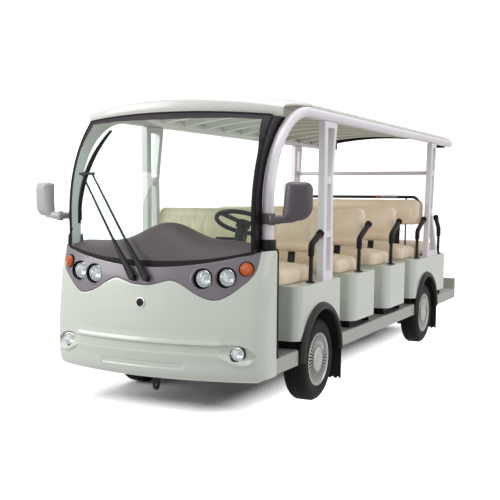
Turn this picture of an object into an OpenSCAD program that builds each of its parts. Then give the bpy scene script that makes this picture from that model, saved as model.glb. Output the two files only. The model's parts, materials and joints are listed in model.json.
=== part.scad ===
// Open-sided electric sightseeing bus with five bench rows
// Millimetres, +X forward, +Y to the vehicle's left, ground at z = 0

/* [Overall size] */
// length from the nose to the rear step
overall_l = 4960; // [4700:10:5300]
// nose ahead of the front axle
front_overhang = 1080; // [1040:10:1140]
// distance between the axles
wheelbase = 2690; // [2640:10:2740]
// width over the side panels
body_w = 1490; // [1460:10:1560]
// crown of the roof above the ground
roof_top = 2035; // [2010:5:2100]
// top of the floor plate
floor_z = 400; // [390:2:410]
// top of the seat boxes
seat_box_top = 800; // [770:5:830]

/* [Wheels and steering] */
// tyre outside diameter
tyre_d = 560; // [540:4:572]
// tyre section width
tyre_w = 165; // [145:5:175]
// distance between left and right tyre centres
track = 1310; // [1300:2:1320]
// rim seat diameter
rim_d = 330; // [310:5:350]
// fins around each wheel cover
cover_fins = 28; // [16:1:36]
// kingpin distance from the centre line
kingpin_y = 575; // [568:1:580]
// kingpin diameter
kingpin_d = 22; // [18:1:26]
// steering arm length behind the kingpin
steer_arm = 100; // [90:2:110]
// steering wheel outside diameter
steer_wheel_d = 375; // [340:5:400]
// tilt of the steering column from vertical
column_tilt = 25; // [18:1:32]

/* [Front] */
// radius of the front in plan
plan_r = 1800; // [1600:20:2200]
// corner radius between the front and the sides
corner_r = 115; // [90:5:120]
// wall of the moulded front
cab_wall = 14; // [10:1:18]
// windscreen glass thickness
glass_t = 6; // [5:0.5:8]
// bend radius of the windscreen in side view
glass_bend_r = 850; // [800:10:900]
// headlamp lens diameter
headlamp_d = 92; // [80:2:100]
// turn signal diameter
signal_d = 78; // [60:2:90]
// fog lamp diameter
fog_d = 72; // [60:2:84]

/* [Frame and roof] */
// pillar and roof rail tube diameter
tube_d = 68; // [60:2:72]
// bend radius of the pillar into the roof rail
pillar_bend_r = 600; // [560:10:640]
// roof sheet thickness
roof_t = 14; // [10:1:20]
// spacing of the roof bows
bow_pitch = 330; // [250:10:420]

/* [Seats] */
// wall of the seat boxes
box_wall = 12; // [8:1:18]
// seat cushion thickness
cushion_t = 120; // [90:5:140]
// backrest thickness
back_t = 75; // [60:5:95]
// backrest lean
back_lean = 10; // [4:1:16]
// grab handle tube diameter
handle_d = 30; // [24:1:36]

/* [Hidden] */
// clearance between a turning piece and its bearing
fit = 0.3;
// clearance between pieces that are fastened together
seat_gap = 0.5;
// shut line between the mouldings of the front
seam = 2;
// segments across the front curve
plan_n = 40;
arc_fn = 256;
round_fn = 96;
front_axle_x = overall_l / 2 - front_overhang;
half_w = body_w / 2;
nose_x = front_overhang;
rear_x = front_overhang - overall_l;
rear_axle_x = -wheelbase;
tyre_r = tyre_d / 2;
tyre_y = track / 2;
hub_z = tyre_r;
floor_t = 20;
frame_top = floor_z - floor_t;
frame_h = 100;
skirt_t = 22;
skirt_low = 305;
floor_half_w = half_w - skirt_t - seat_gap;
board_t = 36;
rail_y = 360;
arch_r = tyre_r + 65;
arch_z = hub_z + 15;
tube_r = tube_d / 2;
pillar_y = half_w - 50;
pillar_x = 752;
cab_rear_x = 722;
cab_top = 1050;
glass_x = nose_x - 95;
glass_bend_z = 1250;
glass_half_w = 690;
glass_top_z = 1878;
// drop of the glass top edge at its ends
glass_top_drop = 28;
rail_end_x = rear_x + 250;
roof_half_w = pillar_y + 15;
roof_arc_r = (roof_half_w * roof_half_w + 80 * 80) / (2 * 80);
roof_front_x = 130;
roof_rear_x = rail_end_x + 30;
// the roof sheet rests on the rails
rail_z = roof_top - 10 - roof_t - roof_arc_r
    + sqrt(pow(roof_arc_r - tube_r - seat_gap, 2) - pillar_y * pillar_y);
spring_low = frame_top - frame_h - 22;
seat_top = seat_box_top + cushion_t;
plinth_h = 50;
// the tie rod runs below the steering arms
tie_z = hub_z - 42;
tie_d = 18;
// steering shaft
shaft_d = 20;
box_low = floor_z + plinth_h;
cushion_half_w = half_w - 120;
// centre of the steering wheel
steer_c = [480, 400, 1200];
// centre of the left mirror glass
mirror_c = [pillar_x + 34, 895, 1345];

// columns: box front edge, box rear edge, foot of the grab handle, foot of the backrest
BOXES = [
    [376, -380, 70, -215],
    [-668, -1150, -895, -1130],
    [-1503, -1990, -1715, -1970],
    [-2302, -3400, -2525, -2768]
];
// columns: height, distance behind the nose
PROFILE = [
    [240, 64], [262, 34], [300, 16], [360, 9], [480, 9], [600, 13],
    [720, 26], [885, 50], [960, 70], [1050, 96], [1200, 96]
];
// columns: distance from the centre line, lower edge of the lamp mask
MASK_LOW = [
    [0, 838], [60, 841], [120, 856], [180, 871], [220, 866], [280, 838],
    [340, 802], [400, 776], [450, 765], [500, 772], [560, 806],
    [620, 862], [670, 930], [700, 1000], [716, 1046], [900, 1046]
];
// columns: distance from the centre line, height
LAMPS = [[382, 885], [518, 894]];
signal_y = 629;
signal_z = 946;
fog_y = 594;
fog_z = 461;
// heights of the rows of the front moulding below the lamp mask
FASCIA_Z = [240, 256, 276, 300, 312, 360, 372, 400, 416, 426, 432, 452, 462, 470, 480, 494, 512, 550];
// columns: setback and height of the roof cap's outer skin, setback and height of its inner skin
CAP = [
    [-2, 1880, 12, 1880], [-7, 1905, 8, 1905], [-6, 1930, 9, 1928], [0, 1952, 14, 1945],
    [14, 1966, 26, 1955], [34, 1976, 42, 1963], [62, 1984, 66, 1970], [110, 1991, 112, 1977],
    [200, 2002, 202, 1988], [300, 2011, 302, 1997], [400, 2018, 401, 2004], [490, 2023, 490, 2009],
    [580, 2026, 580, 2012]
];

// Curves of the front

function nose_at(z) = nose_x - lookup(z, PROFILE);
function glass_at(z) = z <= glass_bend_z ? glass_x
    : glass_x - glass_bend_r
      + sqrt(glass_bend_r * glass_bend_r - (z - glass_bend_z) * (z - glass_bend_z));
function glass_low(y) = 945 + 96 * (y / 680) * (y / 680);
function mask_low(y) = lookup(abs(y), MASK_LOW);

// plan outline of the front from left to right, x measured from the nose line
function corner_c() = -plan_r + sqrt((plan_r - corner_r) * (plan_r - corner_r)
    - (half_w - corner_r) * (half_w - corner_r));
function corner_a() = atan2(half_w - corner_r, corner_c() + plan_r);
function corner_pts(in, n) = [for (i = [0 : n])
    let (a = 90 - (90 - corner_a()) * i / n)
    [corner_c() + (corner_r - in) * cos(a), half_w - corner_r + (corner_r - in) * sin(a)]];
function front_pts(in, n) = [for (i = [1 : n - 1])
    let (a = corner_a() * (1 - 2 * i / n))
    [-plan_r + (plan_r - in) * cos(a), (plan_r - in) * sin(a)]];
function mirror_pts(p) = [for (i = [len(p) - 1 : -1 : 0]) [p[i].x, -p[i].y]];
function plan_pts(in, n, nc) = concat(corner_pts(in, nc), front_pts(in, n),
    mirror_pts(corner_pts(in, nc)));
// front curve alone, across a given half width
function bow_pts(in, w, n) = [for (i = [0 : n])
    let (y = w * (1 - 2 * i / n))
    [-plan_r + sqrt((plan_r - in) * (plan_r - in) - y * y), y]];
function arc(c, r, a0, a1, n) = [for (i = [0 : n])
    let (a = a0 + (a1 - a0) * i / n) [c.x + r * cos(a), c.y + r * sin(a)]];

// sheet between an outer and an inner grid of points, rows upward, left to right
module sheet(outer, inner) {
    nr = len(outer);
    nc = len(outer[0]);
    m = nr * nc;
    pts = concat([for (r = outer) each r], [for (r = inner) each r]);
    faces = concat(
        [for (r = [0 : nr - 2], c = [0 : nc - 2]) each
            let (a = r * nc + c, b = a + 1, d = a + nc, e = d + 1)
            [[a, b, e], [a, e, d], [m + a, m + d, m + e], [m + a, m + e, m + b]]],
        [for (c = [0 : nc - 2]) each
            let (a = c, b = a + 1, t = (nr - 1) * nc + c, u = t + 1)
            [[b, a, m + a], [b, m + a, m + b], [t, u, m + u], [t, m + u, m + t]]],
        [for (r = [0 : nr - 2]) each
            let (a = r * nc, d = a + nc, b = a + nc - 1, e = b + nc)
            [[a, d, m + d], [a, m + d, m + a], [e, b, m + b], [e, m + b, m + e]]]);
    polyhedron(points = pts, faces = faces, convexity = 8);
}

// box with rounded edges along y, cut as a side view outline
module round_slab(len_x, len_z, half_y, r) {
    rotate([90, 0, 0])
        linear_extrude(2 * half_y, center = true)
            polygon(concat(
                arc([len_x - r, r], r, -90, 0, 6),
                arc([len_x - r, len_z - r], r, 0, 90, 6),
                arc([r, len_z - r], r, 90, 180, 6),
                arc([r, r], r, 180, 270, 6)));
}

module at_axle() {
    translate([front_axle_x, 0, 0]) children();
}

module both_sides() {
    children();
    mirror([0, 1, 0]) children();
}

// round bar between two points
module bar(p, q, d) {
    v = q - p;
    l = norm(v);
    translate(p)
        rotate([0, acos(v.z / l), atan2(v.y, v.x)])
            cylinder(h = l, d = d, $fn = round_fn);
}

// Running gear

module chassis_frame() {
    color("dimgray") at_axle()
        for (s = [-1, 1]) {
            translate([rear_x + 130, s * rail_y - 30, frame_top - frame_h])
                cube([nose_x - 170 - rear_x - 130, 60, frame_h]);
            // jacking pad under the rail
            translate([-1040, s * rail_y - 30, frame_top - frame_h - 10])
                cube([80, 60, 20]);
        }
}

module cross_members() {
    inner = rail_y - 30;
    outer = rail_y + 30;
    color("dimgray") at_axle() {
        for (x = [nose_x - 230, 520, -620, -1300, -1980, rear_x + 130])
            translate([x, -inner, frame_top - 80])
                cube([60, 2 * inner, 60]);
        // outriggers that carry the floor beside the rails
        both_sides()
            for (x = [nose_x - 270, 480, -700, -1450, -2250, rear_x + 330])
                translate([x, outer, frame_top - 40])
                    cube([40, half_w - 60 - outer, 40]);
        // towing eyes below the front and rear cross members
        for (x = [nose_x - 200, rear_x + 160])
            translate([x, 0, frame_top - 180])
                rotate([90, 0, 0])
                    linear_extrude(16, center = true)
                        difference() {
                            union() {
                                circle(r = 32, $fn = round_fn);
                                translate([-32, 0]) square([64, 110]);
                            }
                            circle(r = 16, $fn = round_fn);
                        }
    }
}

module floor_pan() {
    color("slategray") at_axle()
        translate([0, 0, frame_top])
            linear_extrude(floor_t)
                difference() {
                    union() {
                        translate([rear_x + 650, -floor_half_w])
                            square([cab_rear_x - rear_x - 650, 2 * floor_half_w]);
                        polygon(concat([[cab_rear_x - 5, floor_half_w], [cab_rear_x, floor_half_w],
                                [cab_rear_x, half_w - cab_wall - seat_gap]],
                            [for (p = plan_pts(cab_wall + seat_gap, plan_n, 8)) [p.x + nose_at(floor_z), p.y]],
                            [[cab_rear_x, -half_w + cab_wall + seat_gap], [cab_rear_x, -floor_half_w],
                                [cab_rear_x - 5, -floor_half_w]]));
                    }
                    for (x = [0, rear_axle_x], s = [-1, 1])
                        translate([x - arch_r - 10, s > 0 ? kingpin_y - 165 : -half_w])
                            square([2 * arch_r + 20, half_w - kingpin_y + 165]);
                }
}

module side_skirts() {
    color("#b5b9b2") at_axle() {
        both_sides()
            for (x = [[cab_rear_x - seat_gap, arch_r + 42], [-arch_r - 42, rear_axle_x + arch_r + 42],
                      [rear_axle_x - arch_r - 42, rear_x + board_t + seat_gap]])
                translate([x[1], half_w - skirt_t, skirt_low])
                    cube([x[0] - x[1], skirt_t, floor_z - skirt_low]);
    }
}

module seat_plinths() {
    color("#2a2426") at_axle()
        for (b = BOXES, x = [b[0] - 30, b[1] + 20])
            translate([x, -half_w + 40, floor_z])
                cube([12, 2 * half_w - 80, plinth_h]);
}

module leaf_springs() {
    color("#3a3a3c") at_axle()
        for (x = [0, rear_axle_x], s = [-1, 1])
            translate([x, s * rail_y, 0]) {
                translate([-420, -30, spring_low])
                    cube([840, 60, 14]);
                for (e = [-420, 390])
                    translate([e, -30, frame_top - frame_h - 8])
                        cube([30, 60, 8]);
            }
}

module front_axle() {
    color("#454548") at_axle() {
        translate([-30, -kingpin_y + 52, spring_low - 50])
            cube([60, 2 * kingpin_y - 104, 50]);
        for (s = [-1, 1]) {
            translate([-30, s > 0 ? kingpin_y - 100 : -kingpin_y + 48, hub_z - 75])
                cube([60, 52, 150]);
            for (z = [hub_z - 75, hub_z + 53])
                translate([0, s * kingpin_y, z]) {
                    cylinder(h = 22, d = 60, $fn = round_fn);
                    translate([-30, s > 0 ? -60 : 0, 0]) cube([60, 60, 22]);
                }
            translate([0, s * kingpin_y, hub_z - 75])
                cylinder(h = 150, d = kingpin_d, $fn = round_fn);
        }
        // rack housing carried below the frame
        difference() {
            union() {
                translate([-steer_arm, 0, tie_z]) rotate([90, 0, 0])
                    cylinder(h = 420, d = 54, center = true, $fn = round_fn);
                for (s = [-1, 1])
                    translate([-steer_arm - 15, s * 180 - 15, tie_z])
                        cube([30, 30, frame_top - 60 - tie_z]);
                translate([-steer_arm - 15, -rail_y + 30, frame_top - 80])
                    cube([30, 2 * rail_y - 60, 30]);
            }
            translate([-steer_arm, 0, tie_z]) rotate([90, 0, 0])
                cylinder(h = 430, d = tie_d + 2 * fit, center = true, $fn = round_fn);
        }
    }
}

module rear_axle() {
    axle_z = spring_low - 45 - seat_gap;
    color("#454548") at_axle() translate([rear_axle_x, 0, 0]) {
        translate([0, 0, axle_z]) rotate([90, 0, 0])
            cylinder(h = 2 * tyre_y - 250, d = 90, center = true, $fn = round_fn);
        translate([0, 0, axle_z]) rotate([90, 0, 0])
            cylinder(h = 200, d = 240, center = true, $fn = round_fn);
        // drive motor on the nose of the differential
        translate([100, 0, axle_z + 10]) rotate([0, 90, 0])
            cylinder(h = 330, d = 190, $fn = round_fn);
        for (s = [-1, 1]) {
            translate([-50, s * rail_y - 40, axle_z])
                cube([100, 80, spring_low - axle_z]);
            // drop gear housings that carry the wheel spindles
            translate([-50, s > 0 ? tyre_y - 165 : -tyre_y + 125, hub_z - 115])
                cube([100, 40, 170]);
            translate([0, s * (tyre_y - 130), hub_z]) rotate([s > 0 ? -90 : 90, 0, 0])
                cylinder(h = 135, d = 40, $fn = round_fn);
        }
    }
}

module battery_packs() {
    color("#40444a") at_axle()
        for (i = [1, 2])
            translate([BOXES[i][1] + 50, -half_w + 90, floor_z])
                cube([BOXES[i][0] - BOXES[i][1] - 100, 2 * half_w - 180, 270]);
}

module tie_rod() {
    color("#6a6a6e") at_axle() translate([-steer_arm, 0, tie_z]) {
        rotate([90, 0, 0])
            cylinder(h = 2 * kingpin_y - 10, d = tie_d, center = true, $fn = round_fn);
        for (s = [-1, 1])
            translate([0, s * kingpin_y, -12])
                cylinder(h = 24, d = 30, $fn = round_fn);
    }
}

module knuckle() {
    difference() {
        union() {
            translate([0, 0, -52]) cylinder(h = 104, d = 56, $fn = round_fn);
            rotate([-90, 0, 0]) cylinder(h = tyre_y - kingpin_y + 5, d = 40, $fn = round_fn);
            translate([-steer_arm, -14, -24]) cube([steer_arm, 28, 14]);
            translate([-steer_arm, 0, -24]) cylinder(h = 14, d = 32, $fn = round_fn);
        }
        translate([0, 0, -60]) cylinder(h = 120, d = kingpin_d + 2 * fit, $fn = round_fn);
    }
}

module front_left_knuckle() {
    color("#505054") at_axle() translate([0, kingpin_y, hub_z]) knuckle();
}

module front_right_knuckle() {
    color("#505054") at_axle() translate([0, -kingpin_y, hub_z])
        mirror([0, 1, 0]) knuckle();
}

// tyre about the y axis, outer side towards +y
module tyre() {
    h = tyre_w / 2;
    r = 34;
    bead = rim_d / 2 + 2;
    color("#2b2827") rotate([-90, 0, 0])
        rotate_extrude($fn = arc_fn)
            difference() {
                polygon(concat(
                    [[bead, -h + 23.6], [bead + 13.5, -h + 8], [bead + 28, -h + 4], [tyre_r - 70, -h]],
                    arc([tyre_r - r, -h + r + 2], r, -80, 0, 8),
                    arc([tyre_r - r, h - r - 2], r, 0, 80, 8),
                    [[tyre_r - 70, h], [bead + 28, h - 4], [bead + 13.5, h - 8], [bead, h - 23.6]]));
                for (z = [-32, 0, 32])
                    translate([tyre_r - 7, z - 4]) square([10, 8]);
            }
}

// rim with a domed finned cover, outer side towards +y
module wheel() {
    h = tyre_w / 2;
    color("#c8c8c4")
        rotate([-90, 0, 0]) union() {
            rotate_extrude($fn = round_fn)
                polygon([
                    [20 + fit, -40], [46, -40], [50, 16], [rim_d / 2 - 20, 26], [rim_d / 2 - 14, -h + 24],
                    [rim_d / 2 - 14, -h + 12], [rim_d / 2 + 14, -h + 4], [rim_d / 2 + 14, -h + 8],
                    [rim_d / 2 + 1, -h + 24], [rim_d / 2 + 1, h - 24], [rim_d / 2 + 14, h - 8],
                    [rim_d / 2 + 14, h - 3], [rim_d / 2 - 2, h - 2], [rim_d / 2 - 8, h - 18],
                    [100, h - 14], [92, h - 6], [60, h + 2], [0, h + 6], [0, h - 8], [80, h - 18],
                    [80, 36], [20 + fit, 30]
                ]);
            for (i = [0 : cover_fins - 1])
                rotate([0, 0, 360 * i / cover_fins])
                    translate([88, 0, h - 22])
                        rotate([90, 0, 0])
                            linear_extrude(6, center = true)
                                polygon([[0, 0], [rim_d / 2 - 92, 0], [rim_d / 2 - 92, 15], [4, 17]]);
        }
}

module front_left_tyre() {
    at_axle() translate([0, tyre_y, hub_z]) tyre();
}
module front_right_tyre() {
    at_axle() translate([0, -tyre_y, hub_z]) mirror([0, 1, 0]) tyre();
}
module rear_left_tyre() {
    at_axle() translate([rear_axle_x, tyre_y, hub_z]) tyre();
}
module rear_right_tyre() {
    at_axle() translate([rear_axle_x, -tyre_y, hub_z]) mirror([0, 1, 0]) tyre();
}
module front_left_wheel() {
    at_axle() translate([0, tyre_y, hub_z]) wheel();
}
module front_right_wheel() {
    at_axle() translate([0, -tyre_y, hub_z]) mirror([0, 1, 0]) wheel();
}
module rear_left_wheel() {
    at_axle() translate([rear_axle_x, tyre_y, hub_z]) wheel();
}
module rear_right_wheel() {
    at_axle() translate([rear_axle_x, -tyre_y, hub_z]) mirror([0, 1, 0]) wheel();
}

// Moulded front

// smooth step from 0 at a to 1 at b
function ease(a, b, v) = let (t = min(1, max(0, (v - a) / (b - a)))) t * t * (3 - 2 * t);
// bumper lip with a hollow band and a ledge below it, between the fog lamps
function lip(z) = z > 466 ? 9 * (1 - ease(470, 520, z)) * ease(461, 470, z)
    : z > 432 ? -5 * (1 - ease(452, 461, z)) * ease(428, 436, z)
    : 5 * ease(330, 424, z) * (1 - ease(424, 432, z));
// lens shaped hollow around each fog lamp
function fog_hollow(y, z) = let (u = (abs(y) - fog_y - 12) / 112, v = (z - fog_z - 2) / 50)
    -15 * (1 - ease(0.55, 1, u * u + v * v));
function plate_hollow(y, z) = -5 * (1 - ease(190, 206, abs(y))) * ease(302, 312, z) * (1 - ease(362, 372, z));
function relief(y, z) = lip(z) * (1 - ease(500, 610, abs(y))) + fog_hollow(y, z) + plate_hollow(y, z);

// lower rows keep their height, upper rows rise to the mask
fascia_n = len(FASCIA_Z) + 5;
function fascia_z(t, top) = t < len(FASCIA_Z) ? FASCIA_Z[t]
    : 550 + (top - 550) * (t - len(FASCIA_Z) + 1) / 6;
function fascia_top(y) = min(cab_top, mask_low(y) - seam);
function fascia_row(t, in) = let (ps = plan_pts(in, plan_n, 8), qs = plan_pts(0, plan_n, 8)) concat(
    [[cab_rear_x, half_w - in, fascia_z(t, cab_top)]],
    [for (i = [0 : len(ps) - 1])
        let (z = fascia_z(t, fascia_top(qs[i].y)))
        [nose_at(z) + ps[i].x + relief(qs[i].y, z), ps[i].y, z]],
    [[cab_rear_x, -half_w + in, fascia_z(t, cab_top)]]);

module front_fascia() {
    color("#cdd6cb") at_axle() difference() {
        sheet([for (t = [0 : fascia_n]) fascia_row(t, 0)], [for (t = [0 : fascia_n]) fascia_row(t, cab_wall)]);
        for (s = [-1, 1])
            translate([nose_x - 200, s * fog_y, fog_z]) rotate([0, 90, 0])
                cylinder(h = 300, d = fog_d + 12, $fn = round_fn);
    }
}

// the mask uses the columns of the front moulding, so that the shut line is even
function mask_row(t, in) = let (ps = plan_pts(in, plan_n, 8), qs = plan_pts(0, plan_n, 8))
    [for (i = [5 : len(ps) - 6])
        let (y = qs[i].y, z0 = mask_low(y), z1 = max(glass_low(y) - seat_gap, z0 + 6),
             z = z0 + (z1 - z0) * t / 5)
        [nose_at(z) + ps[i].x, ps[i].y, z]];

module lamp_mask() {
    color("#6f6770") at_axle() difference() {
        sheet([for (t = [0 : 5]) mask_row(t, 0)], [for (t = [0 : 5]) mask_row(t, cab_wall)]);
        for (s = [-1, 1]) {
            for (l = LAMPS)
                translate([nose_x - 300, s * l[0], l[1]]) rotate([0, 90, 0])
                    cylinder(h = 400, d = headlamp_d + 20, $fn = round_fn);
            translate([nose_x - 300, s * signal_y, signal_z]) rotate([0, 90, 0])
                cylinder(h = 400, d = signal_d, $fn = round_fn);
        }
    }
}

function glass_top(y) = glass_top_z - glass_top_drop * (y / glass_half_w) * (y / glass_half_w);
function glass_row(t, in) = [for (i = [0 : 36])
    let (w = glass_half_w, p = bow_pts(in, w, 36)[i], y = p.y,
         z0 = glass_low(y) + seat_gap, z1 = glass_top(y), z = z0 + (z1 - z0) * t / 16)
    [glass_at(z) + p.x, y, z]];

module windscreen() {
    color("#c8ddd0", 0.4) at_axle()
        sheet([for (t = [0 : 16]) glass_row(t, 0)], [for (t = [0 : 16]) glass_row(t, glass_t)]);
}

module windscreen_frame() {
    y0 = pillar_y - 14;
    bow = plan_r - sqrt(plan_r * plan_r - glass_half_w * glass_half_w);
    bend_z = rail_z - pillar_bend_r;
    edge_r = pillar_bend_r + tube_r + 2 * seat_gap;
    top_z = glass_top(pillar_y);
    edge_a = asin((top_z - bend_z) / edge_r);
    color("#4a4249") at_axle() {
        both_sides() {
            translate([0, y0 + 14, 0]) rotate([90, 0, 0]) linear_extrude(14)
                polygon(concat(
                    [for (i = [0 : 16]) let (z = cab_top + 6 + (top_z - cab_top - 6) * i / 16)
                        [glass_at(z) - bow - glass_t - 8, z]],
                    arc([pillar_x - pillar_bend_r, bend_z], edge_r, edge_a, 0, 36),
                    [[pillar_x + tube_r + seat_gap, cab_top + 6]]));
            // collars where the pillars enter the front
            translate([pillar_x, pillar_y, cab_top + seat_gap])
                difference() {
                    cylinder(h = 62, r = tube_r + 14, $fn = round_fn);
                    translate([0, 0, -1]) cylinder(h = 64, r = tube_r + seat_gap, $fn = round_fn);
                    translate([tube_r - 6, -60, -1]) cube([60, 120, 64]);
                }
        }
    }
}

function bow_x(y) = plan_r - sqrt(plan_r * plan_r - y * y);

module headlamps() {
    color("#dfe3e4") at_axle() both_sides() {
        for (l = LAMPS)
            translate([nose_at(l[1]) - bow_x(l[0]) - 70, l[0], l[1]]) rotate([0, 90, 0]) {
                cylinder(h = 50, d = headlamp_d + 20 - 2 * seat_gap, $fn = round_fn);
                rotate_extrude($fn = round_fn)
                    polygon([[0, 49], [headlamp_d / 2, 49], [headlamp_d / 2, 56],
                        [headlamp_d / 3, 62], [headlamp_d / 6, 65], [0, 66]]);
            }
        translate([nose_at(fog_z) - bow_x(fog_y) + relief(fog_y, fog_z) - 58, fog_y, fog_z]) rotate([0, 90, 0])
            rotate_extrude($fn = round_fn)
                polygon([[0, 0], [fog_d / 2 + 6 - seat_gap, 0], [fog_d / 2 + 6 - seat_gap, 44],
                    [fog_d / 2, 44], [fog_d / 2, 50], [fog_d / 3, 56], [0, 59]]);
    }
}

module turn_signals() {
    color("#d9661f") at_axle() both_sides()
        translate([nose_at(signal_z) - bow_x(signal_y) - 22, signal_y, signal_z]) rotate([0, 90, 0])
            rotate_extrude($fn = round_fn)
                polygon([[0, 0], [signal_d / 2 - seat_gap, 0], [signal_d / 2 - seat_gap, 24],
                    [signal_d / 2.2, 30], [signal_d / 2.6, 36], [signal_d / 4, 42], [0, 45]]);
}

// point at a distance ahead of the glass
function on_glass(y, z, off) = [glass_at(z) - bow_x(y) + off, y, z];

module ball(p, d) {
    translate(p) sphere(d = d, $fn = round_fn);
}

// bar along the glass in short lengths, so that it follows the bend
module glass_bar(y0, z0, y1, z1, off, d, n) {
    for (i = [0 : n - 1]) {
        p = on_glass(y0 + (y1 - y0) * i / n, z0 + (z1 - z0) * i / n, off);
        q = on_glass(y0 + (y1 - y0) * (i + 1) / n, z0 + (z1 - z0) * (i + 1) / n, off);
        bar(p, q, d);
        ball(q, d + 2);
    }
}

module wiper() {
    base_z = 905;
    color("#222022") at_axle() {
        // two parallel arms from the bases on the mask to the blade's carrier
        for (y = [-30, 40]) {
            p = [nose_at(base_z) - bow_x(y) + 25, y, base_z + 7];
            q = on_glass(y - 400, 1490, 34);
            v = q - p;
            translate([nose_at(base_z) - bow_x(y) + seat_gap, y, base_z]) rotate([0, 75, 0])
                cylinder(h = 34, d = 36, $fn = round_fn);
            translate(p) rotate([0, acos(v.z / norm(v)), atan2(v.y, v.x)])
                cylinder(h = norm(v), d1 = 22, d2 = 11, $fn = round_fn);
        }
        bar(on_glass(-455, 1490, 36), on_glass(-335, 1490, 32), 15);
        ball(on_glass(-408, 1490, 20), 32);
        // blade
        glass_bar(-408, 1490, -478, 1235, 8, 11, 3);
        glass_bar(-408, 1490, -285, 1740, 8, 11, 3);
    }
}

function dash_top(y) = 1075 + 125 * exp(-(y / 230) * (y / 230)) + 20 * exp(-pow((y - 430) / 160, 2));

module dashboard() {
    w = pillar_y - tube_r - 14 - seat_gap;
    color("#5f555f") at_axle() intersection() {
        translate([620, 0, 0]) rotate([90, 0, 90])
            linear_extrude(400)
                polygon(concat(
                    [for (i = [0 : 30]) let (y = -w + 2 * w * i / 30) [y, dash_top(y)]],
                    [for (i = [30 : -1 : 0]) let (y = -w + 2 * w * i / 30) [y, min(dash_top(y) - 60, 1060)]]));
        translate([0, 0, 900]) linear_extrude(500)
            polygon(concat([[600, w + 10]],
                [for (p = bow_pts(glass_t + 12, w + 10, 24)) [glass_x + p.x, p.y]], [[600, -w - 10]]));
    }
}

module on_column() {
    translate(steer_c) rotate([0, -column_tilt, 0]) children();
}

module steering_column() {
    l = (steer_c.z - floor_z) / cos(column_tilt);
    color("#333135") at_axle() intersection() {
        on_column() difference() {
            union() {
                translate([0, 0, -l - 40]) cylinder(h = l - 8, d = 44, $fn = round_fn);
                translate([0, 0, -170]) cylinder(h = 120, d = 78, $fn = round_fn);
                translate([0, 0, -110]) rotate([90, 0, 0]) cylinder(h = 170, d = 18, $fn = round_fn);
            }
            translate([0, 0, -120]) cylinder(h = 130, d = shaft_d + 2 * fit, $fn = round_fn);
        }
        translate([0, 0, floor_z]) cube([1200, 1200, 1200]);
    }
}

module steering_wheel() {
    color("#2c292c") at_axle() on_column() {
        rotate_extrude($fn = round_fn)
            translate([steer_wheel_d / 2 - 14, 0]) circle(d = 28, $fn = round_fn);
        translate([0, 0, -30]) cylinder(h = 36, d = 90, $fn = round_fn);
        translate([0, 0, -110]) cylinder(h = 90, d = shaft_d, $fn = round_fn);
        for (a = [90, 210, 330])
            rotate([0, 0, a]) translate([30, -18, -10])
                cube([steer_wheel_d / 2 - 44, 36, 14]);
    }
}

module pedals() {
    color("#28282a") at_axle()
        for (y = [300, 500]) {
            translate([908, y, floor_z]) cylinder(h = 12, d = 44, $fn = round_fn);
            bar([908, y, floor_z + 8], [868, y, floor_z + 150], 16);
            translate([850, y - 35, floor_z + 130]) cube([12, 70, 60]);
            translate([860, y - 8, floor_z + 140]) cube([10, 16, 20]);
        }
}

// outline of the mirror seen from the front, about its centre
module mirror_outline(in) {
    polygon(concat(
        arc([8, -35], 80 - in, -90, 0, 12), arc([43, 60], 45 - in, 0, 90, 8),
        arc([-63, 80], 25 - in, 90, 180, 6), arc([-78, -105], 10 - in, 180, 270, 4)));
}

module mirrors() {
    color("#2a2628") at_axle() both_sides() {
        translate([pillar_x, pillar_y, 1205]) difference() {
            cylinder(h = 60, r = tube_r + 12, $fn = round_fn);
            translate([0, 0, -1]) cylinder(h = 62, r = tube_r + seat_gap, $fn = round_fn);
            translate([-70, -90, -1]) cube([140, 92, 62]);
        }
        bar([pillar_x + 24, pillar_y + tube_r + 4, 1235], [pillar_x + 80, pillar_y + 62, 1232], 34);
        translate([pillar_x + 80, pillar_y + 62, 1206]) cylinder(h = 52, d = 40, $fn = round_fn);
        translate(mirror_c) rotate([0, 0, 20]) {
            intersection() {
                rotate([90, 0, 90]) linear_extrude(60) mirror_outline(0);
                translate([-130, 0, -150]) cylinder(h = 300, r = 190, $fn = arc_fn);
            }
            // stalk along the lower edge
            translate([6, 0, 0]) rotate([90, 0, 90]) linear_extrude(28)
                polygon(concat([[-88, -82], [-148, -94], [-148, -130], [-60, -126]],
                    arc([8, -35], 90, -95, -40, 6), [[40, -60]]));
        }
    }
}

module mirror_glasses() {
    color("#d5dde0") at_axle() both_sides()
        translate(mirror_c) rotate([0, 0, 20]) translate([-4, 0, 0])
            rotate([90, 0, 90]) linear_extrude(4 - seat_gap) mirror_outline(7);
}

// Upper frame and roof

module side_frames() {
    bend_z = rail_z - pillar_bend_r;
    bend_x = pillar_x - pillar_bend_r;
    color("#c9c5cb") at_axle() both_sides() translate([0, pillar_y, 0]) {
        translate([pillar_x, 0, floor_z]) cylinder(h = bend_z - floor_z, r = tube_r, $fn = round_fn);
        translate([bend_x, 0, bend_z]) rotate([90, 0, 0])
            rotate_extrude(angle = 90, $fn = arc_fn)
                translate([pillar_bend_r, 0]) circle(r = tube_r, $fn = round_fn);
        translate([bend_x, 0, rail_z]) rotate([0, -90, 0])
            cylinder(h = bend_x - rail_end_x, r = tube_r, $fn = round_fn);
    }
}

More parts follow.
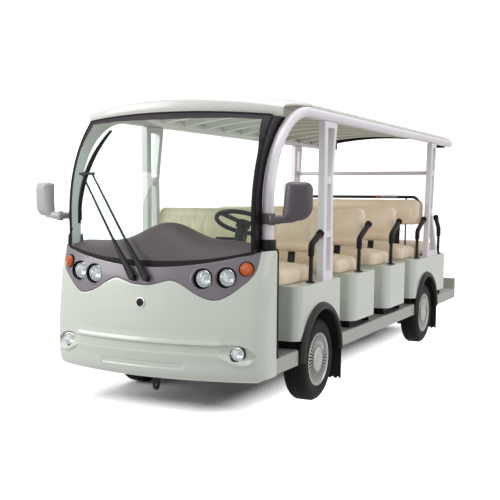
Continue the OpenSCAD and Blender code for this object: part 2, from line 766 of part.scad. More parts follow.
// posts as ladder frames in side view
module posts() {
    top = rail_z - tube_r - seat_gap;
    y0 = pillar_y - 22;
    color("#c9c5cb") at_axle() both_sides() {
        translate([0, y0 + 45, 0]) rotate([90, 0, 0]) linear_extrude(45) {
            difference() {
                polygon([[-90, seat_box_top], [-88, top], [-320, top], [-255, 1480], [-275, seat_box_top]]);
                polygon([[-146, seat_box_top + 60], [-146, 1090], [-224, 1090], [-228, seat_box_top + 60]]);
                polygon([[-146, 1130], [-146, 1450], [-213, 1450], [-222, 1130]]);
                polygon([[-146, 1500], [-146, top - 40], [-270, top - 40], [-216, 1500]]);
            }
            difference() {
                polygon([[-2800, seat_box_top], [-2860, top], [-3040, top], [-2965, 1220],
                    [-3200, seat_box_top]]);
                polygon([[-2862, seat_box_top + 50], [-2886, 1190], [-2930, 1190],
                    [-3110, seat_box_top + 50]]);
                polygon([[-2892, 1250], [-2908, 1560], [-2965, 1560], [-2932, 1250]]);
                polygon([[-2912, 1615], [-2922, top - 40], [-2995, top - 40], [-2972, 1615]]);
            }
        }
    }
    color("#c9c5cb") at_axle()
        translate([-2935, 0, 1588]) rotate([90, 0, 0])
            cylinder(h = 2 * y0 - 2 * seat_gap, d = 36, center = true, $fn = round_fn);
}

// area under the roof crown, in the y z plane
module crown(drop, w) {
    intersection() {
        translate([0, roof_top - drop - roof_arc_r]) circle(r = roof_arc_r, $fn = arc_fn);
        translate([-w, roof_top - 400]) square([2 * w, 500]);
    }
}

// cap above the windscreen, a skin between two profiles that follow the bow of the glass
function cap_row(r, k) = let (w = pillar_y - tube_r - seat_gap) [for (i = [0 : 32])
    let (y = (w - k * 0.5) * (1 - 2 * i / 32), drop = roof_arc_r - sqrt(roof_arc_r * roof_arc_r - y * y),
         low = glass_top(y) + seat_gap, z = CAP[r][2 * k + 1] - drop * ease(1880, 1940, CAP[r][1]))
    [max(glass_at(glass_top_z) - bow_x(y) * (1 - CAP[r][0] / 580) - CAP[r][2 * k], roof_front_x + seat_gap),
     y, r == 0 ? low : z]];

module roof_front_cap() {
    n = len(CAP) - 1;
    color("#e6e7e2") at_axle()
        sheet([for (r = [0 : n]) cap_row(r, 0)], [for (r = [0 : n]) cap_row(r, 1)]);
}

module roof_panel() {
    color("#e6e7e2") at_axle() {
        translate([roof_rear_x, 0, 0]) rotate([90, 0, 90])
            linear_extrude(roof_front_x - roof_rear_x)
                difference() {
                    crown(10, roof_half_w);
                    crown(10 + roof_t, roof_half_w + 10);
                }
        for (x = [roof_rear_x + 60 : 180 : roof_front_x - 60])
            translate([x, 0, 0]) rotate([90, 0, 90])
                linear_extrude(50)
                    difference() {
                        crown(0, roof_half_w - 30);
                        crown(10 + roof_t / 2, roof_half_w + 10);
                    }
    }
}

module roof_bows() {
    color("#eceeea") at_axle()
        for (x = [roof_front_x - 80 : -bow_pitch : roof_rear_x + 60])
            translate([x - 40, 0, 0]) rotate([90, 0, 90])
                linear_extrude(40)
                    intersection() {
                        difference() {
                            crown(10 + roof_t + seat_gap, pillar_y - tube_r - seat_gap);
                            crown(10 + roof_t + 46, half_w);
                        }
                        translate([-pillar_y, rail_z - 20]) square([2 * pillar_y, 400]);
                    }
}

module rear_header() {
    color("#262428") at_axle()
        translate([roof_rear_x - 26, 0, 0]) rotate([90, 0, 90])
            linear_extrude(26 - seat_gap)
                intersection() {
                    difference() {
                        crown(6, pillar_y - tube_r - seat_gap);
                        crown(70, pillar_y - tube_r - 150);
                    }
                    translate([-half_w, rail_z - 40]) square([2 * half_w, 400]);
                }
}

// Seat boxes, wheel arches and seats

module box_plan(x0, x1, in) {
    r = 70;
    w = half_w - in;
    polygon(concat(
        arc([x0 - in - r, w - r], r, 90, 0, 6),
        arc([x0 - in - r, -w + r], r, 0, -90, 6),
        arc([x1 + in + 30, -w + 30], 30, 270, 180, 4),
        arc([x1 + in + 30, w - 30], 30, 180, 90, 4)));
}

module seat_box(b) {
    color("#cdd6cb") at_axle() difference() {
        translate([0, 0, box_low]) linear_extrude(seat_box_top - box_low) box_plan(b[0], b[1], 0);
        translate([0, 0, box_low - 1]) linear_extrude(seat_box_top - box_low + 1 - box_wall)
            box_plan(b[0], b[1], box_wall);
        children();
    }
}

module arch_cut(x) {
    translate([x, 0, arch_z]) rotate([90, 0, 0])
        cylinder(h = 2 * half_w + 100, r = arch_r, center = true, $fn = arc_fn);
}

module seat_box_1() {
    seat_box(BOXES[0]) arch_cut(0);
}
module seat_box_2() {
    seat_box(BOXES[1]);
}
module seat_box_3() {
    seat_box(BOXES[2]);
}
module seat_box_4() {
    seat_box(BOXES[3]) arch_cut(rear_axle_x);
}

module wheel_liners() {
    t = 5;
    color("#1f1d1f") at_axle() both_sides()
        for (x = [0, rear_axle_x])
            translate([x, half_w - box_wall - seat_gap, arch_z]) rotate([90, 0, 0])
                linear_extrude(half_w - box_wall - kingpin_y + 150)
                    difference() {
                        circle(r = arch_r - seat_gap, $fn = arc_fn);
                        circle(r = arch_r - seat_gap - t, $fn = arc_fn);
                        translate([-arch_r, -2 * arch_r]) square([2 * arch_r, 2 * arch_r + 30]);
                    }
}

module arch_trims() {
    t = 40;
    color("#4a4848") at_axle() both_sides()
        for (x = [0, rear_axle_x])
            translate([x, half_w + 30, arch_z]) rotate([90, 0, 0])
                linear_extrude(30 - seat_gap)
                    difference() {
                        circle(r = arch_r + t, $fn = arc_fn);
                        circle(r = arch_r - 18, $fn = arc_fn);
                        translate([-2 * arch_r, -2 * arch_r - 30]) square([4 * arch_r, 2 * arch_r]);
                    }
}

module mudflaps() {
    color("#1c1b1d") at_axle() both_sides()
        for (x = [-arch_r - 12, rear_axle_x - arch_r - 12])
            translate([x, half_w - 185, 90]) cube([6, 160, 290]);
}

// rectangle with rounded corners, from the lower edge up
module round_rect(half_y, len_z, r) {
    polygon(concat(
        arc([half_y - r, r], r, -90, 0, 6), arc([half_y - r, len_z - r], r, 0, 90, 6),
        arc([-half_y + r, len_z - r], r, 90, 180, 6), arc([-half_y + r, r], r, 180, 270, 6)));
}

module cushion(x, depth, flip) {
    translate([x, 0, seat_box_top + seat_gap]) mirror([flip, 0, 0]) translate([20 - depth, 0, 0])
        intersection() {
            round_slab(depth, cushion_t - seat_gap, cushion_half_w, 45);
            rotate([0, 0, -90]) linear_extrude(cushion_t) round_rect(cushion_half_w, depth, 60);
        }
}

module seat_cushions() {
    color("#c9b596") at_axle() {
        for (i = [0 : 3])
            cushion(BOXES[i][0], i == 0 ? 490 : 435, 0);
        cushion(BOXES[3][1], 490, 1);
    }
}

// columns: foot, lower edge, upper edge, lean, 1 where it faces the rear
BACKS = [
    [BOXES[0][3], seat_top + 60, 1270, back_lean, 0],
    [BOXES[1][3], seat_top + 60, 1270, back_lean, 0],
    [BOXES[2][3], seat_top + 60, 1270, back_lean, 0],
    [BOXES[3][3], seat_top + 180, 1330, 4, 0],
    [BOXES[3][3] - 76, seat_top + 180, 1330, 4, 1]
];

module on_back(b) {
    translate([b[0], 0, b[1]]) mirror([b[4], 0, 0]) rotate([0, -b[3], 0]) children();
}

module backrests() {
    color("#c9b596") at_axle()
        for (b = BACKS)
            on_back(b) intersection() {
                round_slab(back_t, (b[2] - b[1]) / cos(b[3]), cushion_half_w + 20, 30);
                rotate([90, 0, 90]) linear_extrude(back_t)
                    round_rect(cushion_half_w + 20, (b[2] - b[1]) / cos(b[3]), 75);
            }
}

module backrest_frames() {
    color("#242224") at_axle() {
        // flat uprights behind each backrest, standing on the box
        intersection() {
            for (i = [0 : 4], s = [-1, 1])
                on_back(BACKS[i]) translate([-14 - seat_gap, s * (i == 4 ? 360 : 430) - 25, -400])
                    cube([14, 50, 600]);
            translate([-4000, -half_w, seat_box_top]) cube([5000, 2 * half_w, 900]);
        }
        // rail above the back to back benches
        translate([BACKS[3][0] - 38, 0, 0]) {
            translate([0, 0, 1360]) rotate([90, 0, 0])
                cylinder(h = 2 * 560, d = 28, center = true, $fn = round_fn);
            // ends turned down
            both_sides() translate([0, 560, 1300]) {
                rotate([90, 0, 90]) rotate_extrude(angle = 90, $fn = round_fn)
                    translate([60, 0]) circle(d = 28, $fn = round_fn);
                translate([0, 60, -70]) cylinder(h = 70, d = 28, $fn = round_fn);
            }
            for (s = [-1, 1])
                translate([0, s * 500, seat_box_top]) cylinder(h = 560, d = 16, $fn = round_fn);
        }
    }
}

module handle(x, flip) {
    translate([x, half_w - 52, seat_box_top]) mirror([flip, 0, 0]) {
        cylinder(h = 10, d = 62, $fn = round_fn);
        cylinder(h = 240, d = handle_d, $fn = round_fn);
        translate([0, 0, 180]) cylinder(h = 70, d = handle_d + 14, $fn = round_fn);
        translate([0, 0, 250]) sphere(d = handle_d + 16, $fn = round_fn);
        translate([0, 0, 250]) rotate([0, -48, 0])
            cylinder(h = 170, d = handle_d + 14, $fn = round_fn);
        // clamp at the end of the sleeve
        translate([0, 0, 250]) rotate([0, -48, 0]) translate([0, 0, 150])
            cylinder(h = 32, d = handle_d + 24, $fn = round_fn);
    }
}

module grab_handles() {
    color("#2a2729") at_axle() both_sides() {
        for (b = BOXES)
            handle(b[2], 0);
        handle(BOXES[3][1] + 80, 1);
    }
}

module rear_platform() {
    color("#9a9da0") at_axle() {
        translate([rear_x, -floor_half_w, frame_top])
            cube([650 - seat_gap, 2 * floor_half_w, floor_t]);
        translate([rear_x, -half_w, skirt_low]) cube([board_t, 2 * half_w, floor_z + 110 - skirt_low]);
    }
}

module tail_lamps() {
    color("#a02020") at_axle() both_sides()
        translate([BOXES[3][1] - 14, half_w - 150, 620]) cube([14 - seat_gap, 90, 130]);
}

chassis_frame();
cross_members();
floor_pan();
side_skirts();
seat_plinths();
front_fascia();
lamp_mask();
windscreen();
windscreen_frame();
headlamps();
turn_signals();
wiper();
dashboard();
steering_column();
pedals();
mirrors();
mirror_glasses();
side_frames();
posts();
roof_front_cap();
roof_panel();
roof_bows();
rear_header();
seat_box_1();
seat_box_2();
seat_box_3();
seat_box_4();
wheel_liners();
arch_trims();
mudflaps();
seat_cushions();
backrests();
backrest_frames();
grab_handles();
rear_platform();
tail_lamps();
front_axle();
rear_axle();
leaf_springs();
battery_packs();
tie_rod();
front_left_knuckle();
front_right_knuckle();
steering_wheel();
front_left_tyre();
front_right_tyre();
rear_left_tyre();
rear_right_tyre();
front_left_wheel();
front_right_wheel();
rear_left_wheel();
rear_right_wheel();
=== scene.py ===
"""Looks of an open-sided electric sightseeing bus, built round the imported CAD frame."""
import bpy
import json
import math
from mathutils import Matrix, Vector


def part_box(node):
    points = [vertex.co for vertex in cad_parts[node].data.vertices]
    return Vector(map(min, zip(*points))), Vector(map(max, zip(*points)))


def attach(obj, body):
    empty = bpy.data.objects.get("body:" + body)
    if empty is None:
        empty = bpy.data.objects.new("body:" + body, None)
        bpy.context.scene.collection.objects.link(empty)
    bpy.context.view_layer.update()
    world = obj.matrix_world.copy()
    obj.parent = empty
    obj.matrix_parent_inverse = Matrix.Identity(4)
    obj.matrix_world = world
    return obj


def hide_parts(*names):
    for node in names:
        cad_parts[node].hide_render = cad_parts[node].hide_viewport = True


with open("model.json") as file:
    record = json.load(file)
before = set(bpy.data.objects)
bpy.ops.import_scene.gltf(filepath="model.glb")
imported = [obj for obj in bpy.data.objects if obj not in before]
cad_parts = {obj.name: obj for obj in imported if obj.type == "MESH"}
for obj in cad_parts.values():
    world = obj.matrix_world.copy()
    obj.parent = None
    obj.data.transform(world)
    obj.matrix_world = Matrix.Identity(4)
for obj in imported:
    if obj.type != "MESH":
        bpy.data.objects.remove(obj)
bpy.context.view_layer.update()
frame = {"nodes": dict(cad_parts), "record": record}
nodes = frame["nodes"]
scene = bpy.context.scene


def centre(node):
    low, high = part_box(node)
    return (low + high) / 2


AXLE_X = centre("front_left_tyre").x
REAR_X = centre("rear_left_tyre").x
HUB_Z = centre("front_left_tyre").z
TYRE_Y = centre("front_left_tyre").y


# Colours and materials

def linear(hexa):
    """Linear colour of an sRGB hex value."""
    out = []
    for i in (1, 3, 5):
        c = int(hexa[i:i + 2], 16) / 255
        out.append(c / 12.92 if c <= 0.04045 else ((c + 0.055) / 1.055) ** 2.4)
    return (*out, 1.0)


def add(tree, kind, links=None, **settings):
    """A node of that kind, with input values or settings, and inputs linked from other nodes' outputs."""
    node = tree.nodes.new("ShaderNode" + kind)
    for key, value in settings.items():
        key = key.replace("_", " ") if key[0].isupper() else key
        if key in node.inputs:
            node.inputs[key].default_value = value
        else:
            setattr(node, key, value)
    for key, source in (links or {}).items():
        tree.links.new(source, node.inputs[key])
    return node


def surface(name, hexa, rough, metal=0.0, coat=0.0, **more):
    """A plain Principled material and its shader."""
    m = bpy.data.materials.new(name)
    m.use_nodes = True
    shader = m.node_tree.nodes["Principled BSDF"]
    shader.inputs["Base Color"].default_value = linear(hexa)
    shader.inputs["Roughness"].default_value = rough
    shader.inputs["Metallic"].default_value = metal
    shader.inputs["Coat Weight"].default_value = coat
    shader.inputs["Coat Roughness"].default_value = 0.06
    for key, value in more.items():
        shader.inputs[key.replace("_", " ")].default_value = value
    return m, m.node_tree, shader


def noise(tree, size_mm, detail):
    """Noise with features of that size in real millimetres."""
    place = add(tree, "TexCoord")
    spots = add(tree, "TexNoise", {"Vector": place.outputs["Object"]}, Scale=1000 / size_mm, Detail=detail)
    return spots.outputs["Fac"]


def blend(tree, shader, factor, hexes, stops=(0, 1)):
    """Base colour that goes from one hex value to the other with a factor."""
    ramp = add(tree, "ValToRGB", {"Fac": factor})
    for i in (0, 1):
        ramp.color_ramp.elements[i].position = stops[i]
        ramp.color_ramp.elements[i].color = linear(hexes[i])
    tree.links.new(ramp.outputs["Color"], shader.inputs["Base Color"])


def emboss(tree, shader, factor, height_mm, strength=1.0):
    """Relief of that height from a factor."""
    bump = add(tree, "Bump", {"Height": factor}, Strength=strength, Distance=height_mm / 1000)
    tree.links.new(bump.outputs["Normal"], shader.inputs["Normal"])


def mottle(tree, shader, hexes, size_mm, detail=3.0):
    """Slow drift between two close colours."""
    blend(tree, shader, noise(tree, size_mm, detail), hexes, (0.35, 0.65))


def grain(tree, shader, size_mm, height_mm, detail=2.0):
    """Fine relief of that size and height."""
    emboss(tree, shader, noise(tree, size_mm, detail), height_mm)


MATS = {}


def material(slot, name, hexa, rough, relief=None, drift=None, **more):
    """A material kept under a slot; relief holds grain's values and drift holds mottle's."""
    m, t, s = surface(name, hexa, rough, **more)
    if drift:
        mottle(t, s, *drift)
    if relief:
        grain(t, s, *relief)
    MATS[slot] = m
    return t, s


# pale sage gelcoat: wet gloss with a faint orange peel, so broad panels catch soft highlights
material("body_paint", "sage_gelcoat", "#ccd1c8", 0.3, (9, 0.012), (("#cad0c6", "#ced3c9"), 420), coat=0.4)
# off-white roof gelcoat: a touch flatter and cooler than the body; faces turned downward are painted a paler cream,
# painted bounce light under the roof
t, s = material("roof_paint", "white_gelcoat", "#d3d5d0", 0.34, (11, 0.014), coat=0.3)
facing = add(t, "SeparateXYZ", {"Vector": add(t, "NewGeometry").outputs["Normal"]})
# downward faces blend to a paler cream: painted bounce light
bounce_lightening = add(t, "MapRange", {"Value": facing.outputs["Z"]}, From_Min=-0.2, From_Max=-0.5)
blend(t, s, bounce_lightening.outputs[0], ("#d3d5d0", "#eae6d2"))
# grey-green satin skirt enamel: duller than the body so the sills read as a separate strip
material("skirt_paint", "skirt_enamel", "#a6aaa2", 0.42, (6, 0.01), coat=0.1)
# silver powder coat on the tubes: fine metallic sparkle under a satin skin
material("tube_paint", "silver_powder_coat", "#e6e1e8", 0.36, (1.6, 0.006), metal=0.1)
# black chassis paint: low satin, slightly uneven
material("painted_steel_black", "black_chassis_paint", "#1c1b1d", 0.5, (3, 0.02), (("#191819", "#201f21"), 60),
         Specular_IOR_Level=0.3)
# cast steel: dark, rough skin for axles and knuckles
material("cast_steel", "cast_steel", "#4c4b4d", 0.55, (2.2, 0.08, 4), metal=0.7)
# satin mask plastic: purple-grey moulding round the lamps
material("mask_plastic", "mask_moulding", "#756d76", 0.34, (2.5, 0.006), coat=0.15)
# dash plastic: purple-brown with a very fine grain that softens the highlight
material("dash_plastic", "dash_moulding", "#604352", 0.5, (1.4, 0.004, 3))
# black plastic: fine spark-eroded grain for handles, wells and trims
material("black_plastic", "black_moulding", "#151214", 0.42, (1.4, 0.02), Specular_IOR_Level=0.22)
# rubber: soft matt black with a dusty drift
material("rubber", "black_rubber", "#201e1f", 0.72, (1.8, 0.03), (("#131213", "#1b191a"), 45), Specular_IOR_Level=0.25)
# tyre rubber: warm black, slightly paler where it is scuffed
material("tyre", "tyre_rubber", "#121111", 0.6, (1.2, 0.03), (("#0e0d0d", "#161414"), 30, 4), Specular_IOR_Level=0.18)
# silver wheel lacquer: bright metallic flake
material("wheel_silver", "wheel_lacquer", "#b9b9b5", 0.3, (0.9, 0.004), metal=0.8, coat=0.25)
# beige seat vinyl: fine leather grain with a soft sheen on the crowns
material("seat_vinyl", "beige_vinyl", "#ecd9bf", 0.46, (1.9, 0.05, 3), (("#ead6bb", "#eedcc4"), 140), coat=0.08)
# battery case: dull black block that never shows
material("battery_case", "battery_case", "#22252a", 0.6)
# amber lens: deep orange with light coming through
material("amber_lens", "amber_lens", "#d8600f", 0.14, coat=0.35, Transmission_Weight=0.2,
         Emission_Color=linear("#d9661f"), Emission_Strength=0.05)
# red lens: clear dark red for the tail lamps
material("red_lens", "red_lens", "#a01818", 0.12, coat=0.6, Transmission_Weight=0.2)
# mirror glass: clean silvering
material("mirror_glass", "mirror_silver", "#e4e9ea", 0.03, metal=1.0)


def chequer_plate(name, hexa, pitch):
    """Floor plate with raised lozenges, turned by a quarter in every other cell; pitch is in metres."""
    m, t, s = surface(name, hexa, 0.42, metal=0.6)
    place = add(t, "TexCoord")
    xyz = add(t, "SeparateXYZ", {"Vector": place.outputs["Object"]})

    def op(kind, a, b=None):
        n = add(t, "Math", operation=kind)
        for i, v in enumerate((a, b)):
            if v is None:
                continue
            if isinstance(v, (int, float)):
                n.inputs[i].default_value = v
            else:
                t.links.new(v, n.inputs[i])
        return n.outputs[0]

    u = op("DIVIDE", xyz.outputs["X"], pitch)
    v = op("DIVIDE", xyz.outputs["Y"], pitch)
    odd = op("FLOORED_MODULO", op("ADD", op("FLOOR", u), op("FLOOR", v)), 2)
    fu = op("SUBTRACT", op("FRACT", u), 0.5)
    fv = op("SUBTRACT", op("FRACT", v), 0.5)
    a = op("ADD", fu, fv)
    b = op("SUBTRACT", fu, fv)
    long_a = op("ADD", op("MULTIPLY", a, op("SUBTRACT", 1, odd)), op("MULTIPLY", b, odd))
    short = op("ADD", op("MULTIPLY", b, op("SUBTRACT", 1, odd)), op("MULTIPLY", a, odd))
    d = op("ADD", op("POWER", op("DIVIDE", long_a, 0.62), 2), op("POWER", op("DIVIDE", short, 0.2), 2))
    high = op("MAXIMUM", op("SUBTRACT", 1, d), 0)
    emboss(t, s, high, 2.2)
    blend(t, s, high, (hexa, "#bcbebf"))
    return m


# chequer plate: raised lozenges worn bright on a grey sheet
MATS["floor_plate"] = chequer_plate("chequer_plate", "#8d9091", 0.03)


GLASS_IOR = 1.45


def glass(name, hexa):
    """Clear sheet that lets light through to the inside, tinted by its colour, the same from both faces."""
    m, t, s = surface(name, hexa, 0.0)
    path = add(t, "LightPath")
    face = add(t, "NewGeometry")
    ior = add(t, "MapRange", {"Value": face.outputs["Backfacing"]}, To_Min=GLASS_IOR, To_Max=1 / GLASS_IOR)
    edge = add(t, "Fresnel", {"IOR": ior.outputs[0]})
    see = add(t, "BsdfTransparent", Color=linear(hexa))
    glossy = add(t, "BsdfGlossy", Color=(1, 1, 1, 1), Roughness=0.02)
    sheet = add(t, "MixShader", {0: edge.outputs[0], 1: see.outputs[0], 2: glossy.outputs[0]})
    mix = add(t, "MixShader", {0: path.outputs["Is Shadow Ray"], 1: sheet.outputs[0], 2: see.outputs[0]})
    t.links.new(mix.outputs[0], t.nodes["Material Output"].inputs["Surface"])
    t.nodes.remove(s)
    return m


# screen glass: faint green tint, clear reflections
MATS["screen_glass"] = glass("screen_glass", "#e1f2e8")
# lamp glass: nearly colourless
MATS["lamp_glass"] = glass("lamp_glass", "#f4f7f7")


# Mesh helpers, in millimetres from the front axle on the ground

def at(x, y, z):
    return (AXLE_X + x / 1000, y / 1000, z / 1000)


def piece(name, verts, faces, mat, body="chassis", slot=None, replaces=(), smooth=40):
    """A mesh piece that rides on a body; slot is not used.

    Faces that meet under the smooth angle are shaded as one.
    """
    mesh = bpy.data.meshes.new(name)
    mesh.from_pydata([tuple(v) for v in verts], [], faces)
    mesh.update()
    mesh.polygons.foreach_set("use_smooth", [True] * len(mesh.polygons))
    mesh.set_sharp_from_angle(angle=math.radians(smooth))
    mesh.materials.append(MATS[mat])
    o = bpy.data.objects.new(name, mesh)
    scene.collection.objects.link(o)
    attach(o, body)
    if replaces:
        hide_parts(*replaces)
    return o


def grid(rows, loop=False):
    """Vertices and quads of a grid of points; loop joins the last column to the first."""
    nc = len(rows[0])
    verts = [p for r in rows for p in r]
    cols = nc if loop else nc - 1
    faces = [(r * nc + c, r * nc + (c + 1) % nc, (r + 1) * nc + (c + 1) % nc, (r + 1) * nc + c)
             for r in range(len(rows) - 1) for c in range(cols)]
    return verts, faces


def join(*parts):
    """Several vertex and face lists as one."""
    verts, faces = [], []
    for v, f in parts:
        k = len(verts)
        verts += v
        faces += [tuple(i + k for i in q) for q in f]
    return verts, faces


def capped(rows):
    """A looped grid with both ends closed."""
    v, f = grid(rows, True)
    n = len(rows[0])
    return v, f + [tuple(range(n))[::-1], tuple(range(len(v) - n, len(v)))]


def tube(path, radius, n=16):
    """A round tube along a path of points in millimetres; radius is one value or one for each point."""
    pts = [Vector(p) for p in path]
    r = radius if isinstance(radius, (list, tuple)) else [radius] * len(pts)
    rows, side = [], None
    for i, p in enumerate(pts):
        ahead = (pts[min(i + 1, len(pts) - 1)] - pts[max(i - 1, 0)]).normalized()
        if side is None:
            side = ahead.orthogonal().normalized()
        side = (side - ahead * side.dot(ahead)).normalized()
        up = ahead.cross(side)
        rows.append([at(*(p + r[i] * (math.cos(a) * side + math.sin(a) * up)))
                     for a in (2 * math.pi * k / n for k in range(n))])
    return capped(rows)


def rounded(path, radius, steps=6):
    """The path with its corners turned into arcs."""
    pts = [Vector(p) for p in path]
    out = [pts[0]]
    for a, b, c in zip(pts, pts[1:], pts[2:]):
        u, v = (a - b).normalized(), (c - b).normalized()
        half = math.acos(max(-1, min(1, u.dot(v)))) / 2
        cut = min(radius / math.tan(half), (a - b).length * 0.49, (c - b).length * 0.49)
        for i in range(steps + 1):
            t = i / steps
            out.append((b + u * cut) * (1 - t) ** 2 + b * 2 * t * (1 - t) + (b + v * cut) * t * t)
    return out + [pts[-1]]


def lathe(profile, centre, axis, n=64):
    """A profile of radius and height turned about an axis through a centre."""
    turn = Vector(axis).to_track_quat("Z", "Y")
    return grid([[at(*(Vector(centre) + turn @ Vector((r * math.cos(a), r * math.sin(a), h))))
                  for a in (math.radians(360 * k / n) for k in range(n))] for r, h in profile], True)


def block(low, high):
    """A plain box."""
    v = [at(x, y, z) for x in (low[0], high[0]) for y in (low[1], high[1]) for z in (low[2], high[2])]
    return v, [(0, 1, 3, 2), (4, 6, 7, 5), (0, 4, 5, 1), (2, 3, 7, 6), (0, 2, 6, 4), (1, 5, 7, 3)]


def prism(outline, ahead, depth, place):
    """An outline pushed along an axis: place maps outline point and depth to a point."""
    rows = [[at(*place(u, v, d)) for u, v in outline] for d in (ahead, ahead + depth)]
    return capped(rows)


def mod(o, kind, **settings):
    """A modifier with its settings."""
    m = o.modifiers.new(kind.title(), kind)
    for k, v in settings.items():
        setattr(m, k, v)
    return m


def edges(o, width):
    """Rounded edges of that width in millimetres."""
    mod(o, "WELD", merge_threshold=0.0001)
    mod(o, "BEVEL", width=width / 1000, segments=3, limit_method="ANGLE", angle_limit=math.radians(35),
        harden_normals=True)


def ease(a, b, v):
    """Smooth step from 0 at a to 1 at b."""
    t = min(1, max(0, (v - a) / (b - a)))
    return t * t * (3 - 2 * t)


def spline(table):
    """A smooth curve through a table of positions and values."""
    xs, ys = zip(*table)
    near = [(max(i - 1, 0), min(i + 1, len(xs) - 1)) for i in range(len(xs))]
    slope = [(ys[b] - ys[a]) / (xs[b] - xs[a]) for a, b in near]

    def value(x):
        if x <= xs[0]:
            return ys[0]
        if x >= xs[-1]:
            return ys[-1]
        i = max(k for k in range(len(xs) - 1) if xs[k] <= x)
        h = xs[i + 1] - xs[i]
        t = (x - xs[i]) / h
        return (ys[i] * (1 + 2 * t) * (1 - t) ** 2 + slope[i] * h * t * (1 - t) ** 2
                + ys[i + 1] * t * t * (3 - 2 * t) + slope[i + 1] * h * t * t * (t - 1))
    return value


def span(a, b, n):
    """Evenly spaced values from a to b in n steps."""
    return [a + (b - a) * i / n for i in range(n + 1)]


# CAD pieces that keep their mesh: materials and rounded edges

# edge radii in millimetres
ROUND = {"seat_box_1": 9, "seat_box_2": 9, "seat_box_3": 9, "seat_box_4": 9, "side_skirts": 5,
         "rear_platform": 5, "posts": 5, "roof_bows": 4, "roof_panel": 4, "rear_header": 4,
         "seat_plinths": 2, "chassis_frame": 5, "cross_members": 4, "front_axle": 4, "rear_axle": 4,
         "leaf_springs": 2, "steering_column": 3, "pedals": 3, "tail_lamps": 4, "backrest_frames": 3,
         "windscreen_frame": 2, "floor_pan": 1.5, "tie_rod": 2, "front_left_knuckle": 3, "front_right_knuckle": 3}
for n in frame["record"]["subparts"]:
    o = nodes[n["node"]]
    o.data.materials.clear()
    o.data.materials.append(MATS[n["material_slot"]])
    if n["node"] in ROUND:
        edges(o, ROUND[n["node"]])


# Front moulding: the CAD's curves at full smoothness

NOSE, PLAN_R, CORNER_R, HALF_W = 1080, 1800, 115, 745
FRONT_LOW, BAND_TOP, CAB_TOP, CAB_REAR = 278, 560, 1050, 722
# glass: half width, height at the centre, distance behind the nose, start and radius of its upper bend
GLASS_W, GLASS_TOP, GLASS_BACK, BEND_Z, BEND_R = 655, 1878, 95, 1250, 850
CORNER_X = -PLAN_R + math.sqrt((PLAN_R - CORNER_R) ** 2 - (HALF_W - CORNER_R) ** 2)
CORNER_A = math.atan2(HALF_W - CORNER_R, CORNER_X + PLAN_R)
# lamps: distance from the centre line and height, then radii of the openings
FOG, SIGNAL, LAMPS = (600, 455), (629, 946), [(382, 885), (518, 894)]
FOG_HOLE, LAMP_HOLE = 43, 58.5
# height and distance behind the nose
setback = spline([(FRONT_LOW, 64), (292, 38), (318, 18), (370, 9), (510, 9), (600, 13), (720, 26), (885, 50),
                  (960, 70), (1050, 96), (1200, 96)])
# distance from the centre line and height of the mask's waved lower edge
mask_edge = spline([(0, 838), (60, 841), (120, 856), (180, 871), (220, 866), (280, 838), (340, 802), (400, 776),
                    (450, 765), (500, 772), (560, 806), (620, 856), (660, 896), (684, 940), (693, 990),
                    (697, 1046), (900, 1046)])


def nose(z):
    return NOSE - setback(z)


def mask_low(y):
    return mask_edge(abs(y))


def glass_low(y):
    return 945 + 96 * (y / 680) ** 2


def glass_top(y):
    return GLASS_TOP - 28 * (y / GLASS_W) ** 2


def glass_x(z):
    foot = NOSE - GLASS_BACK
    return foot if z <= BEND_Z else foot - BEND_R + math.sqrt(BEND_R ** 2 - (z - BEND_Z) ** 2)


def bow(y):
    """Fall of the plan curve behind its middle."""
    return PLAN_R - math.sqrt(PLAN_R ** 2 - y * y)


def plan(y):
    """Distance ahead of the nose line on the plan curve, corners included."""
    if abs(y) <= PLAN_R * math.sin(CORNER_A):
        return -bow(y)
    return CORNER_X + math.sqrt(max(0, CORNER_R ** 2 - (abs(y) - HALF_W + CORNER_R) ** 2))


def plan_line(n, nc):
    """Points of the plan curve from left to right."""
    left = [(CORNER_X + CORNER_R * math.cos(a), HALF_W - CORNER_R + CORNER_R * math.sin(a))
            for a in span(math.pi / 2, CORNER_A, nc)]
    front = [(-PLAN_R + PLAN_R * math.cos(a), PLAN_R * math.sin(a)) for a in span(CORNER_A, -CORNER_A, n)[1:-1]]
    return left + front + [(x, -y) for x, y in reversed(left)]


# height and relief of the bumper between the fog lamps: ledge, hollow band, lip
BAND = [(395, 0), (440, 7), (447, 6), (454, -6), (498, -9), (503, 10), (512, 9), (529, 3), (BAND_TOP, 0)]


def lookup(table, v):
    """Straight lines between a table's values."""
    for (a, fa), (b, fb) in zip(table, table[1:]):
        if a <= v <= b:
            return fa + (fb - fa) * (v - a) / (b - a)
    return table[0][1] if v < table[0][0] else table[-1][1]


# distance from the centre line and height of the lids round the fog lamps
EYE_LOW = spline([(490, 442), (540, 418), (590, 397), (640, 389), (680, 402), (708, 437)])
EYE_TOP = spline([(490, 503), (540, 507), (590, 509), (640, 498), (680, 470), (708, 441)])


def relief(y, z):
    """Bumper band, eye shaped hollows round the fog lamps and the shallow place for a plate."""
    a = abs(y)
    low = EYE_LOW(a)
    t = (z - low) / max(4, EYE_TOP(a) - low)
    if t < 0:
        eye = 14 * (1 - ease(0, 0.2, -t))
    elif t < 0.9:
        eye = 14 - 32 * ease(0, 0.5, t)
    else:
        eye = -18 + 20 * ease(0.9, 1, t) - 2 * ease(1, 1.2, t)
    eye *= ease(490, 540, a) * (1 - ease(694, 708, a))
    plate = -5 * (1 - ease(280, 298, a)) * ease(348, 356, z) * (1 - ease(382, 390, z))
    return lookup(BAND, z) * (1 - ease(490, 545, a)) + eye + plate


def holed(rows, centres, radius):
    """A grid without the faces that lie inside round openings seen from ahead."""
    v, f = grid(rows)
    keep = []
    for q in f:
        y, z = (sum(v[i][k] for i in q) * 250 for k in (1, 2))
        if all(math.hypot(abs(y) - cy, z - cz) > radius for cy, cz in centres):
            keep.append(q)
    return v, keep


